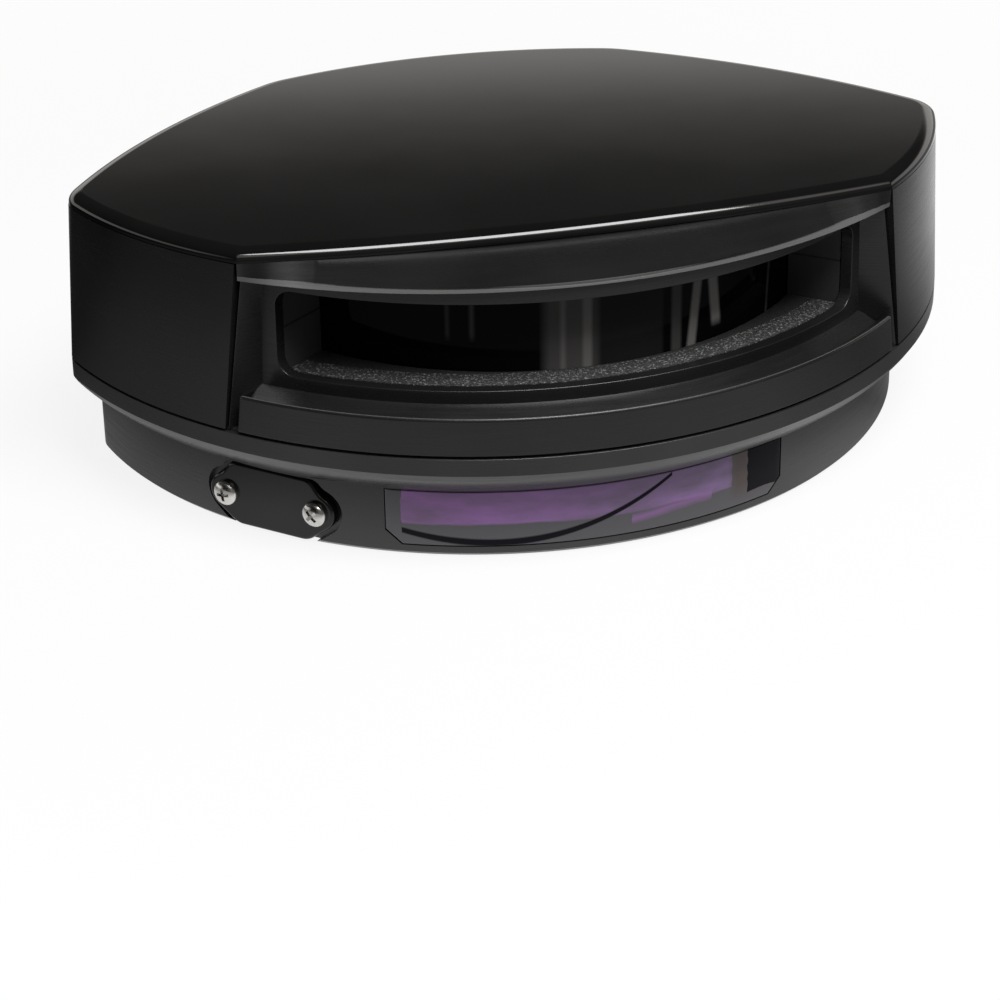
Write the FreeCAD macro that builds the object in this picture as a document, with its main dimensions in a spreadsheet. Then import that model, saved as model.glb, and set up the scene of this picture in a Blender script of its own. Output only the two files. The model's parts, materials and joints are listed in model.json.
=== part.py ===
import FreeCAD, Part
import math
import os
from types import SimpleNamespace

import Sketcher

# Laser presence sensor, in millimetres. The Z axis is the axis of the curved front, the front looks
# towards -Y, and the flat underside lies on Z = 0.

# Driving sizes, one sheet cell each.
SIZES = {
    # plan outline at the seam: four arcs, mirrored left and right
    "seam_radius": 65.0,
    "side_radius": 118.0,
    "side_centre_x": 42.4,
    "side_centre_y": 71.9,
    "back_radius": 74.0,
    "back_centre_y": 45.4,
    "end_round": 4.0,
    "kink_round": 12.0,
    # heights
    "floor": 2.4,
    "rim_top": 16.85,
    "gasket_height": 0.4,
    "gasket_inset": 0.7,
    "gasket_width": 1.3,
    "corner_height": 41.9,
    "corner_reach": 47.4,
    "top_fall": 0.034,
    "draft": 2.6,
    "wall": 2.4,
    "edge_round": 1.4,
    "top_spare": 4.0,
    # base front
    "rim_overhang": 5.7,
    "base_edge": 0.5,
    "foot_round": 6.0,
    "base_wall_top": 9.6,
    "rim_side_bottom": 14.5,
    "rim_curve": 12.0,
    # top cover
    "cover_thickness": 1.65,
    "parting_gap": 0.15,
    "cover_lip": 1.2,
    "cover_lip_depth": 1.2,
    "fit": 0.2,
    # front opening between the end caps
    "jamb_seam_x": 46.0,
    "jamb_top_x": 42.8,
    "jamb_reach": 46.0,
    "jamb_angle": 43.5,
    "jamb_gap": 0.35,
    "facet_angle": 68.0,
    "facet_inset": 0.5,
    "lip_end": 1.9,
    "jamb_thickness": 1.4,
    "baffle_back": 2.0,
    "flange_lap": 2.6,
    "flange_thickness": 1.2,
    # bezel section
    "ledge_height": 22.6,
    "ledge_thickness": 1.6,
    "lip_thickness": 2.2,
    "ledge_depth": 4.9,
    "frame_thickness": 1.5,
    "bezel_sweep": 104.0,
    "brow_drop": 4.1,
    "brow_half_width": 44.0,
    "brow_low_setback": 4.4,
    "brow_low_radius": 74.5,
    "brow_top_setback": 14.2,
    "brow_top_radius": 250.0,
    "brow_depth": 44.0,
    # slot and what lies in it
    "slot_half_width": 38.8,
    "slot_bottom": 24.0,
    "slot_head": 2.0,
    "slot_corner": 2.4,
    "window_setback": 4.0,
    "window_radius": 42.0,
    "window_thickness": 1.8,
    "window_angle": 100.0,
    "window_play": 0.8,
    "bay_floor": 23.0,
    "bay_headroom": 0.2,
    "bay_throat_x": 31.7,
    "bay_depth": 18.6,
    "bay_flare": 1.19,
    "baffle_lap": 1.5,
    # lower window
    "pane_half_width": 27.0,
    "pane_bottom": 1.4,
    "pane_top": 9.4,
    "pane_corner": 2.0,
    "pane_thickness": 1.4,
    "pane_bearing": 1.6,
    # connector port on the base, turned round the axis
    "port_turn": -42.65,
    "port_recess": 1.7,
    "port_block_depth": 3.6,
    "port_block_width": 20.0,
    "gasket_thickness": 0.4,
    "plate_thickness": 1.4,
    "plate_margin": 0.8,
    "plate_top": 9.3,
    "plate_bottom": 0.2,
    "plate_top_half": 6.0,
    "plate_foot_half": 5.4,
    "ear_radius": 2.7,
    "ear_upper_turn": 75.0,
    "ear_lower_turn": 50.0,
    "plate_screw_pitch": 13.6,
    "plate_screw_height": 4.65,
    "plate_screw_length": 4.5,
    "socket_width": 8.6,
    "socket_bottom": 3.0,
    "socket_length": 11.0,
    "socket_wall": 0.9,
    "socket_depth": 5.0,
    # screws: shank radius, head radius and head height of each thread size
    "small_shank": 0.95,
    "small_head": 1.75,
    "small_head_height": 1.2,
    "medium_shank": 1.2,
    "medium_head": 2.2,
    "medium_head_height": 1.4,
    "large_shank": 1.45,
    "large_head": 2.75,
    "large_head_height": 2.0,
    "screw_play": 0.05,
    "pass_play": 0.2,
    # posts and bosses
    "case_post": 3.6,
    "case_side_x": 50.0,
    "case_side_y": 8.5,
    "case_back_x": 20.0,
    "case_back_y": 20.3,
    "case_seat": 4.0,
    "case_boss_top": 30.0,
    "case_screw_length": 20.5,
    "insert_x": 22.0,
    "insert_y": 12.0,
    "insert_boss": 4.2,
    "insert_radius": 2.95,
    "insert_bore": 1.65,
    "insert_length": 6.0,
    "insert_boss_top": 7.0,
    # boards
    "board_thickness": 1.6,
    "main_board_height": 7.5,
    "main_board_setback": 9.3,
    "main_board_front_half": 24.0,
    "main_board_half": 35.0,
    "main_board_corner": 10.0,
    "main_board_side_reach": 4.0,
    "main_board_back": 11.0,
    "main_board_back_half": 20.0,
    "board_post": 2.6,
    "board_post_side_x": 30.0,
    "board_post_side_y": 8.0,
    "board_post_front_x": 14.0,
    "board_post_inset": 6.0,
    "board_screw_length": 4.5,
    "chip_side": 12.0,
    "chip_height": 1.2,
    "chip_reach": 24.0,
    "led_pitch": 8.0,
    "led_side": 2.6,
    "led_height": 2.5,
    "led_inset": 1.5,
    # chassis
    "chassis_bottom": 18.0,
    "chassis_thickness": 2.5,
    "chassis_post": 3.0,
    "chassis_side_x": 40.0,
    "chassis_side_y": 6.0,
    "chassis_front_x": 22.0,
    "chassis_front_y": 34.0,
    "chassis_screw_length": 9.0,
    "motor_clearance": 1.55,
    "motor_post": 2.4,
    "motor_post_gap": 0.1,
    "motor_screw_length": 5.0,
    "post_play": 0.5,
    # scan motor and mirror
    "motor_board_height": 11.0,
    "motor_board_margin": 3.2,
    "shaft_radius": 1.5,
    "shaft_foot": 12.8,
    "shaft_end": 0.7,
    "bearing_radius": 4.0,
    "bearing_width": 3.0,
    "bearing_play": 0.03,
    "bearing_spacing": 1.2,
    "sleeve_wall": 1.2,
    "sleeve_floor": 0.6,
    "sleeve_flange": 7.0,
    "sleeve_flange_height": 1.0,
    "stator_radius": 11.0,
    "stator_height": 5.5,
    "stator_core_wall": 2.2,
    "stator_tip": 1.3,
    "stator_slot_gap": 1.2,
    "air_gap": 0.5,
    "magnet_thickness": 1.05,
    "bell_thickness": 1.2,
    "bell_skirt": 7.2,
    "axial_play": 0.4,
    "hub_radius": 10.0,
    "hub_height": 2.5,
    "hub_spigot": 4.0,
    "hub_spigot_height": 5.5,
    "mirror_side": 36.0,
    "mirror_headroom": 0.5,
    "mirror_corner": 2.0,
    "clamp_radius": 7.0,
    "clamp_height": 0.8,
    # sender and receiver on the chassis, left and right of the mirror
    "beam_offset": 12.7,
    "laser_front": 37.0,
    "laser_length": 13.0,
    "laser_width": 9.4,
    "laser_wall": 2.0,
    "laser_lens_radius": 4.0,
    "laser_lens_edge": 1.4,
    "laser_lens_curve": 9.0,
    "laser_flange_radius": 2.8,
    "laser_flange": 1.2,
    "laser_can_radius": 2.35,
    "laser_can": 3.4,
    "detector_front": 36.0,
    "detector_length": 14.0,
    "detector_width": 16.0,
    "detector_wall": 1.0,
    "detector_lens_margin": 1.0,
    "detector_lens_edge": 1.8,
    "detector_lens_curve": 13.0,
    "detector_flange_radius": 4.5,
    "detector_flange": 1.2,
    "detector_can_radius": 4.1,
    "detector_can": 3.0,
    "optic_board_width": 11.4,
    "optic_board_rise": 5.5,
    "optic_board_gap": 0.2,
    "optic_screw_inset": 3.2,
    "optic_screw_edge": 2.2,
    "optic_screw_length": 6.5,
    # how far a cutting block runs past the case
    "reach": 80.0,
}

doc = FreeCAD.newDocument("laser_presence_sensor")
sheet = doc.addObject("Spreadsheet::Sheet", "Sizes")
for row, (alias, number) in enumerate(SIZES.items(), 1):
    sheet.set(f"A{row}", alias)
    sheet.set(f"B{row}", str(number))
    sheet.setAlias(f"B{row}", alias)
doc.recompute()


class Size:
    """A length or angle that knows its value and the sheet expression that gives it."""

    def __init__(self, value, text):
        self.value = float(value)
        self.text = text

    def joined(self, sign, other, value):
        return Size(value, f"({self.text} {sign} {other.text})")

    def __add__(self, other):
        other = as_size(other)
        return self.joined("+", other, self.value + other.value)

    def __sub__(self, other):
        other = as_size(other)
        return self.joined("-", other, self.value - other.value)

    def __mul__(self, other):
        other = as_size(other)
        return self.joined("*", other, self.value * other.value)

    def __truediv__(self, other):
        other = as_size(other)
        return self.joined("/", other, self.value / other.value)

    def __neg__(self):
        return Size(-self.value, f"(0 - {self.text})")


def as_size(number):
    """A plain number as a size, so that both can be mixed in a formula."""
    return number if isinstance(number, Size) else Size(number, repr(float(number)))


def cosine(angle):
    return Size(math.cos(math.radians(angle.value)), f"cos({angle.text} * 1 deg)")


def sine(angle):
    return Size(math.sin(math.radians(angle.value)), f"sin({angle.text} * 1 deg)")


def tangent(angle):
    return sine(angle) / cosine(angle)


def root(size):
    return Size(math.sqrt(size.value), f"sqrt({size.text})")


s = SimpleNamespace(**{alias: Size(sheet.get(alias), f"Sizes.{alias}") for alias in SIZES})
nodes = {}

# Radii and reaches from the case's axis, as depths behind the seam.
base_radius = s.seam_radius - s.rim_overhang
port_seat = base_radius - s.port_recess
frame_radius = s.seam_radius - s.ledge_depth
frame_inner = frame_radius - s.frame_thickness
brow_low_reach = s.seam_radius - s.brow_low_setback
brow_top_reach = s.seam_radius - s.brow_top_setback
bay_throat_reach = frame_inner - s.bay_depth
jamb_depth = bay_throat_reach - s.baffle_back
scan_reach = frame_inner - s.window_setback - s.window_radius
baffle_inner_radius = s.window_radius - s.window_thickness - s.baffle_lap
beam_reach = scan_reach + s.beam_offset
main_board_front = base_radius - s.main_board_setback
main_board_corner_reach = main_board_front - s.main_board_corner
board_post_front_y = main_board_front - s.board_post_inset
led_reach = main_board_front - s.led_inset

# Heights and places that several pieces share.
upper_bottom = s.rim_top + s.gasket_height
block_top = s.corner_height + s.top_spare
chassis_top = s.chassis_bottom + s.chassis_thickness
board_top = s.main_board_height + s.board_thickness
motor_board_top = s.motor_board_height + s.board_thickness
scan_y = -scan_reach
bearing_bore = s.shaft_radius + s.bearing_play
sleeve_bore = s.bearing_radius + s.bearing_play
lower_bearing_bottom = motor_board_top + s.sleeve_floor
upper_bearing_bottom = lower_bearing_bottom + s.bearing_width + s.bearing_spacing
sleeve_top = upper_bearing_bottom + s.bearing_width
sleeve_radius = sleeve_bore + s.sleeve_wall
bell_bottom = sleeve_top + s.axial_play
hub_bottom = bell_bottom + s.bell_thickness
mirror_bottom = hub_bottom + s.hub_height
brow_height = s.corner_height - s.brow_drop
slot_top = brow_height - s.slot_head
bay_ceiling = slot_top + s.bay_headroom
baffle_top = brow_height - s.fit
mirror_top = bay_ceiling - s.mirror_headroom
mirror_height = mirror_top - mirror_bottom
shaft_top = mirror_top + s.clamp_height + s.shaft_end
beam_height = (mirror_bottom + mirror_top) / 2
baffle_split = beam_height
detector_lens_radius = mirror_height / 2 + s.detector_lens_margin
laser_block_height = beam_height + s.laser_lens_radius + s.laser_wall - chassis_top
detector_block_height = beam_height + detector_lens_radius + s.detector_wall - chassis_top
optic_board_height = beam_height + s.optic_board_rise - chassis_top
magnet_inner = s.stator_radius + s.air_gap
bell_inner = magnet_inner + s.magnet_thickness
bell_radius = bell_inner + s.bell_thickness
motor_hole = bell_radius + s.motor_clearance
motor_post_ring = motor_hole + s.motor_post + s.motor_post_gap
motor_board_radius = motor_post_ring + s.motor_board_margin
stator_bottom = motor_board_top + s.sleeve_flange_height + s.axial_play
case_posts = [(-s.case_side_x, -s.case_side_y), (s.case_side_x, -s.case_side_y),
              (-s.case_back_x, s.case_back_y), (s.case_back_x, s.case_back_y)]
insert_posts = [(-s.insert_x, -s.insert_y), (s.insert_x, -s.insert_y),
                (-s.insert_x, s.insert_y), (s.insert_x, s.insert_y)]
board_posts = [(-s.board_post_side_x, -s.board_post_side_y), (s.board_post_side_x, -s.board_post_side_y),
               (-s.board_post_front_x, -board_post_front_y), (s.board_post_front_x, -board_post_front_y)]
chassis_posts = [(-s.chassis_side_x, -s.chassis_side_y), (s.chassis_side_x, -s.chassis_side_y),
                 (-s.chassis_front_x, -s.chassis_front_y), (s.chassis_front_x, -s.chassis_front_y)]
motor_turns = [Size(angle, str(angle)) for angle in (90.0, 210.0, 330.0)]
motor_posts = [(motor_post_ring * cosine(turn), scan_y + motor_post_ring * sine(turn))
               for turn in motor_turns]


def top_at(y):
    """Height of the sloping top at a place along Y."""
    return s.corner_height - s.top_fall * (y + s.corner_reach)


# Helpers for the document's objects.

def bind(obj, name, size):
    obj.setExpression(name, as_size(size).text)


def place(obj, x=0.0, y=0.0, z=0.0, rotation=None):
    """Sets the rotation of an object and ties its position to the sheet."""
    if rotation is not None:
        obj.Placement = FreeCAD.Placement(FreeCAD.Vector(), rotation)
    for axis, size in (("x", x), ("y", y), ("z", z)):
        if isinstance(size, Size):
            bind(obj, f"Placement.Base.{axis}", size)


def tie(sketch, constraint, size):
    index = sketch.addConstraint(constraint)
    sketch.setExpression(f"Constraints[{index}]", size.text)


def tie_point(sketch, point, x, y):
    """Fixes a point of a sketch: a size ties it to the sheet, a plain 0 puts it on the axis."""
    for kind, axis, size in (("DistanceX", -2, x), ("DistanceY", -1, y)):
        if isinstance(size, Size):
            tie(sketch, Sketcher.Constraint(kind, -1, 1, *point, size.value), size)
        else:
            sketch.addConstraint(Sketcher.Constraint("PointOnObject", *point, axis))


def number_of(size):
    return as_size(size).value


def arc_of(start, end, centre):
    """Arc that runs counter-clockwise from one point to another round a centre."""
    first = math.atan2(start.y - centre.y, start.x - centre.x)
    last = math.atan2(end.y - centre.y, end.x - centre.x)
    if last <= first:
        last += 2 * math.pi
    circle = Part.Circle(centre, FreeCAD.Vector(0, 0, 1), (start - centre).Length)
    return Part.ArcOfCircle(circle, first, last)


def draw(sketch, corners):
    """Draws a closed outline, counter-clockwise, whose corners and radii are tied to the sheet.

    A corner is (x, y), or (x, y, radius) where the edge that leaves it is an arc bulging outwards.
    """
    points = [FreeCAD.Vector(number_of(corner[0]), number_of(corner[1]), 0) for corner in corners]
    edges = []
    for index, corner in enumerate(corners):
        start = points[index]
        end = points[(index + 1) % len(points)]
        if len(corner) == 2:
            edges.append(sketch.addGeometry(Part.LineSegment(start, end)))
            continue
        radius = number_of(corner[2])
        along = end - start
        inward = FreeCAD.Vector(-along.y, along.x, 0).normalize()
        centre = (start + end) * 0.5 + inward * math.sqrt(radius ** 2 - (along.Length / 2) ** 2)
        edges.append(sketch.addGeometry(arc_of(start, end, centre)))
        tie(sketch, Sketcher.Constraint("Radius", edges[-1], radius), corner[2])
    for index, corner in enumerate(corners):
        sketch.addConstraint(Sketcher.Constraint("Coincident", edges[index - 1], 2, edges[index], 1))
        tie_point(sketch, (edges[index], 1), corner[0], corner[1])


def draw_circle(sketch, x, y, radius):
    centre = FreeCAD.Vector(number_of(x), number_of(y), 0)
    geometry = sketch.addGeometry(Part.Circle(centre, FreeCAD.Vector(0, 0, 1), radius.value))
    tie(sketch, Sketcher.Constraint("Radius", geometry, radius.value), radius)
    tie_point(sketch, (geometry, 3), x, y)


def crossing(first, second, measure):
    """The point where two circles (x, y, radius) cross that lies further along a measure."""
    along = FreeCAD.Vector(second[0] - first[0], second[1] - first[1], 0)
    gap = along.Length
    along.normalize()
    run = (first[2] ** 2 - second[2] ** 2 + gap ** 2) / (2 * gap)
    rise = math.sqrt(first[2] ** 2 - run ** 2)
    foot = FreeCAD.Vector(first[0], first[1], 0) + along * run
    across = FreeCAD.Vector(-along.y, along.x, 0) * rise
    return max(foot + across, foot - across, key=measure)


def draw_shield(sketch, inset, front_radius):
    """Draws the plan outline, moved inwards: front arc, two side arcs and the back arc."""
    front = (0, 0, front_radius - inset)
    right = (-s.side_centre_x, -s.side_centre_y, s.side_radius - inset)
    back = (0, -s.back_centre_y, s.back_radius - inset)
    left = (s.side_centre_x, -s.side_centre_y, s.side_radius - inset)
    arcs = [front, right, back, left]
    circles = [[number_of(size) for size in arc] for arc in arcs]
    end = crossing(circles[0], circles[1], lambda point: point.x)
    kink = crossing(circles[1], circles[2], lambda point: point.y)
    corners = [FreeCAD.Vector(-end.x, end.y, 0), end, kink, FreeCAD.Vector(-kink.x, kink.y, 0)]
    edges = []
    for index, (arc, circle) in enumerate(zip(arcs, circles)):
        centre = FreeCAD.Vector(circle[0], circle[1], 0)
        edge = sketch.addGeometry(arc_of(corners[index], corners[(index + 1) % 4], centre))
        tie(sketch, Sketcher.Constraint("Radius", edge, circle[2]), arc[2])
        tie_point(sketch, (edge, 3), arc[0], arc[1])
        edges.append(edge)
    for index, edge in enumerate(edges):
        sketch.addConstraint(Sketcher.Constraint("Coincident", edges[index - 1], 2, edge, 1))


def new_body(name):
    body = doc.addObject("PartDesign::Body", name)
    body.Label = name
    return body


def body_sketch(body, role, offset=None):
    """Empty sketch on one of the body's own origin planes, moved along its normal."""
    plane = next(feature for feature in body.Origin.OriginFeatures if feature.Role == role)
    sketch = body.newObject("Sketcher::SketchObject", f"{body.Name}_sketch")
    sketch.AttachmentSupport = [(plane, "")]
    sketch.MapMode = "FlatFace"
    if offset is not None:
        bind(sketch, "AttachmentOffset.Base.z", offset)
    return sketch


def add_pad(body, sketch, length, draft=None):
    pad = body.newObject("PartDesign::Pad", f"{body.Name}_pad")
    pad.Profile = sketch
    bind(pad, "Length", length)
    if draft is not None:
        bind(pad, "TaperAngle", -draft)
    return pad


def add_pocket(body, sketch, length, towards_normal=False):
    """Pocket against the sketch's normal, or along it; it has to take material away."""
    doc.recompute()
    before = body.Shape.Volume
    pocket = body.newObject("PartDesign::Pocket", f"{body.Name}_pocket")
    pocket.Profile = sketch
    pocket.Reversed = towards_normal
    bind(pocket, "Length", length)
    doc.recompute()
    if body.Shape.Volume >= before:
        raise ValueError(f"{body.Name}: the pocket cuts nothing")
    return pocket


def add_round(body, radius, wanted):
    """Rounds the edges of the body that a test picks."""
    doc.recompute()
    base = body.Tip
    names = [f"Edge{index}" for index, edge in enumerate(base.Shape.Edges, 1) if wanted(edge)]
    fillet = body.newObject("PartDesign::Fillet", f"{body.Name}_round")
    fillet.Base = (base, names)
    bind(fillet, "Radius", radius)
    return fillet


def add_chamfer(body, size, wanted):
    """Cuts the edges of the body that a test picks at an angle."""
    doc.recompute()
    base = body.Tip
    names = [f"Edge{index}" for index, edge in enumerate(base.Shape.Edges, 1) if wanted(edge)]
    chamfer = body.newObject("PartDesign::Chamfer", f"{body.Name}_chamfer")
    chamfer.Base = (base, names)
    bind(chamfer, "Size", size)
    return chamfer


def turned(name, profile, x=0.0, y=0.0, z=0.0, rotation=None):
    """Turned piece: a profile of (radius, height) corners spun round its own upright axis."""
    body = new_body(name)
    sketch = body_sketch(body, "XZ_Plane")
    draw(sketch, profile)
    spin = body.newObject("PartDesign::Revolution", f"{name}_spin")
    spin.Profile = sketch
    spin.ReferenceAxis = (sketch, ["V_Axis"])
    place(body, x, y, z, rotation)
    return body


def plate(name, corners, bottom, thickness, holes=()):
    """Flat plate with round holes given as (x, y, radius)."""
    body = new_body(name)
    sketch = body_sketch(body, "XY_Plane", bottom)
    draw(sketch, corners)
    for x, y, radius in holes:
        draw_circle(sketch, x, y, radius)
    add_pad(body, sketch, thickness)
    return body


def rectangle(half_x, y_front, y_back):
    return [(-half_x, y_front), (half_x, y_front), (half_x, y_back), (-half_x, y_back)]


def shield_block(name, inset, bottom, height, draft=None, front_radius=s.seam_radius):
    """Block with the plan outline of the case, its upright corners sharp."""
    body = new_body(name)
    sketch = body_sketch(body, "XY_Plane", bottom)
    draw_shield(sketch, inset, front_radius)
    add_pad(body, sketch, height, draft)
    return body


def round_case_corners(body, height, end_round=s.end_round):
    """Rounds the two end corners and the two softer back corners of a block."""
    def upright(edge):
        return abs(edge.Vertexes[0].Z - edge.Vertexes[-1].Z) > height.value / 2

    add_round(body, end_round, lambda edge: upright(edge) and edge.CenterOfMass.y < 0)
    add_round(body, s.kink_round, lambda edge: upright(edge) and edge.CenterOfMass.y > 0)


def free_sketch(name, corners, rotation=None, **position):
    """Sketch that stands in the document by itself, for sweeps and lofts."""
    sketch = doc.addObject("Sketcher::SketchObject", f"{name}_outline")
    draw(sketch, corners)
    place(sketch, rotation=rotation, **position)
    return sketch


# Sketch frames: side view (Y across, Z up, X towards the viewer) and front view (X across, Z up).
SIDE_VIEW = FreeCAD.Rotation(FreeCAD.Vector(1, 1, 1), 120)
FRONT_VIEW = FreeCAD.Rotation(FreeCAD.Vector(1, 0, 0), 90)
UPSIDE_DOWN = FreeCAD.Rotation(FreeCAD.Vector(1, 0, 0), 180)
TOWARDS_RIGHT = FreeCAD.Rotation(FreeCAD.Vector(0, 1, 0), 90)
TOWARDS_LEFT = FreeCAD.Rotation(FreeCAD.Vector(0, 1, 0), -90)


def extruded(name, sketch, forward, backward=None):
    """Block swept along the sketch's normal."""
    block = doc.addObject("Part::Extrusion", name)
    block.Base = sketch
    block.DirMode = "Normal"
    block.Solid = True
    bind(block, "LengthFwd", forward)
    if backward is not None:
        bind(block, "LengthRev", backward)
    return block


def spun(name, profile, angle):
    """Ring sector spun round the case's axis, even about the front, from (reach, height) corners."""
    sketch = free_sketch(name, profile, SIDE_VIEW)
    ring = doc.addObject("Part::Revolution", name)
    ring.Source = sketch
    ring.Axis = FreeCAD.Vector(0, 0, 1)
    ring.Base = FreeCAD.Vector(0, 0, 0)
    ring.Symmetric = angle is not None
    ring.Solid = True
    if angle is not None:
        bind(ring, "Angle", angle)
    return ring


def lofted(name, *sections):
    loft = doc.addObject("Part::Loft", name)
    loft.Sections = list(sections)
    loft.Solid = True
    loft.Ruled = True
    return loft


def cylinder(name, radius, bottom, height, x=0.0, y=0.0, rotation=None):
    rod = doc.addObject("Part::Cylinder", name)
    bind(rod, "Radius", radius)
    bind(rod, "Height", height)
    place(rod, x, y, bottom, rotation)
    return rod


def box(name, x_range, y_range, z_range):
    block = doc.addObject("Part::Box", name)
    for side, (low, high) in (("Length", x_range), ("Width", y_range), ("Height", z_range)):
        bind(block, side, as_size(high) - low)
    place(block, as_size(x_range[0]), as_size(y_range[0]), as_size(z_range[0]))
    return block


def rods(name, places, radius, bottom, height):
    """Upright cylinders at several places."""
    return [cylinder(f"{name}_{index}", radius, bottom, height, x, y)
            for index, (x, y) in enumerate(places, 1)]


def joined(name, pieces):
    union = doc.addObject("Part::MultiFuse", name)
    union.Shapes = list(pieces)
    union.Refine = True
    return union


def cut(name, base, *tools):
    result = doc.addObject("Part::Cut", name)
    result.Base = base
    result.Tool = tools[0] if len(tools) == 1 else joined(f"{name}_tools", tools)
    result.Refine = True
    return result


def common(name, first, second):
    result = doc.addObject("Part::Common", name)
    result.Base = first
    result.Tool = second
    result.Refine = True
    return result


def group(name, pieces):
    """Several like solids that share one node."""
    result = doc.addObject("Part::Compound", name)
    result.Links = list(pieces)
    return result


def node(obj, name):
    """Names a finished piece."""
    obj.Label = name
    nodes[name] = obj
    return obj


def screw(name, kind, length, x=0.0, y=0.0, z=0.0, rotation=None):
    """Plain screw, its head's underside at the given place, head upwards."""
    shank = getattr(s, f"{kind}_shank")
    head = getattr(s, f"{kind}_head")
    height = getattr(s, f"{kind}_head_height")
    return turned(name, [(0, -length), (shank, -length), (shank, 0), (head, 0), (head, height),
                         (0, height)], x, y, z, rotation)


def screws(name, kind, length, places, z, rotation=None):
    pieces = [screw(f"{name}_{index}", kind, length, x, y, z, rotation)
              for index, (x, y) in enumerate(places, 1)]
    return node(group(name, pieces), name)


# The case: base, upper shell, top cover and front bezel.

def slope_block(name, drop):
    """Everything under the sloping top, lowered by an amount."""
    low = -s.reach
    corners = [(low, -s.reach), (s.reach, -s.reach), (s.reach, top_at(s.reach) - drop),
               (low, top_at(low) - drop)]
    return extruded(name, free_sketch(name, corners, SIDE_VIEW), s.reach, s.reach)


def jamb_wedge(name, inset, splay=s.jamb_angle):
    """The gap between the two end caps: its sides lean in and splay, moved inwards by an inset."""
    lean = (s.jamb_seam_x - s.jamb_top_x) / (s.corner_height - s.rim_top)
    sections = []
    for height in (as_size(0.0), s.corner_height + s.rim_top):
        edge = s.jamb_seam_x - lean * (height - s.rim_top) - inset / cosine(s.jamb_angle)
        front = edge + (s.reach - s.jamb_reach) * tangent(splay)
        back = edge + (jamb_depth - s.jamb_reach) * tangent(splay)
        corners = [(-front, -s.reach), (front, -s.reach), (back, -jamb_depth), (-back, -jamb_depth)]
        sections.append(free_sketch(name, corners, z=height))
    return lofted(name, *sections)


def upper_form(name, plan=None):
    """The upper half as one solid: drafted walls, sloping top, a plan to keep to and rounded edges."""
    height = block_top - upper_bottom
    body = shield_block(name, as_size(0.0), upper_bottom, height, s.draft)
    round_case_corners(body, height)
    slope = body_sketch(body, "YZ_Plane", -s.reach)
    low = -s.reach
    draw(slope, [(low, top_at(low)), (s.reach, top_at(s.reach)), (s.reach, s.reach), (low, s.reach)])
    add_pocket(body, slope, s.reach * 2, towards_normal=True)
    if plan is not None:
        outside = body_sketch(body, "XY_Plane")
        draw(outside, rectangle(s.reach * 2, -s.reach * 2, s.reach * 2))
        draw(outside, plan)
        add_pocket(body, outside, s.reach, towards_normal=True)

    def on_top(edge):
        return all(abs(v.Z - top_at(as_size(v.Y)).value) < 0.001 for v in edge.Vertexes)

    add_round(body, s.edge_round, on_top)
    return body


def brow_section(name, reach, radius, height):
    """Flat section of the brow: a bow at the front, closed by a straight back."""
    half = s.brow_half_width
    ends = reach - radius + root(radius * radius - half * half)
    corners = [(-half, -ends, radius), (half, -ends), (half, -s.brow_depth), (-half, -s.brow_depth)]
    return free_sketch(name, corners, z=height)


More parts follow.
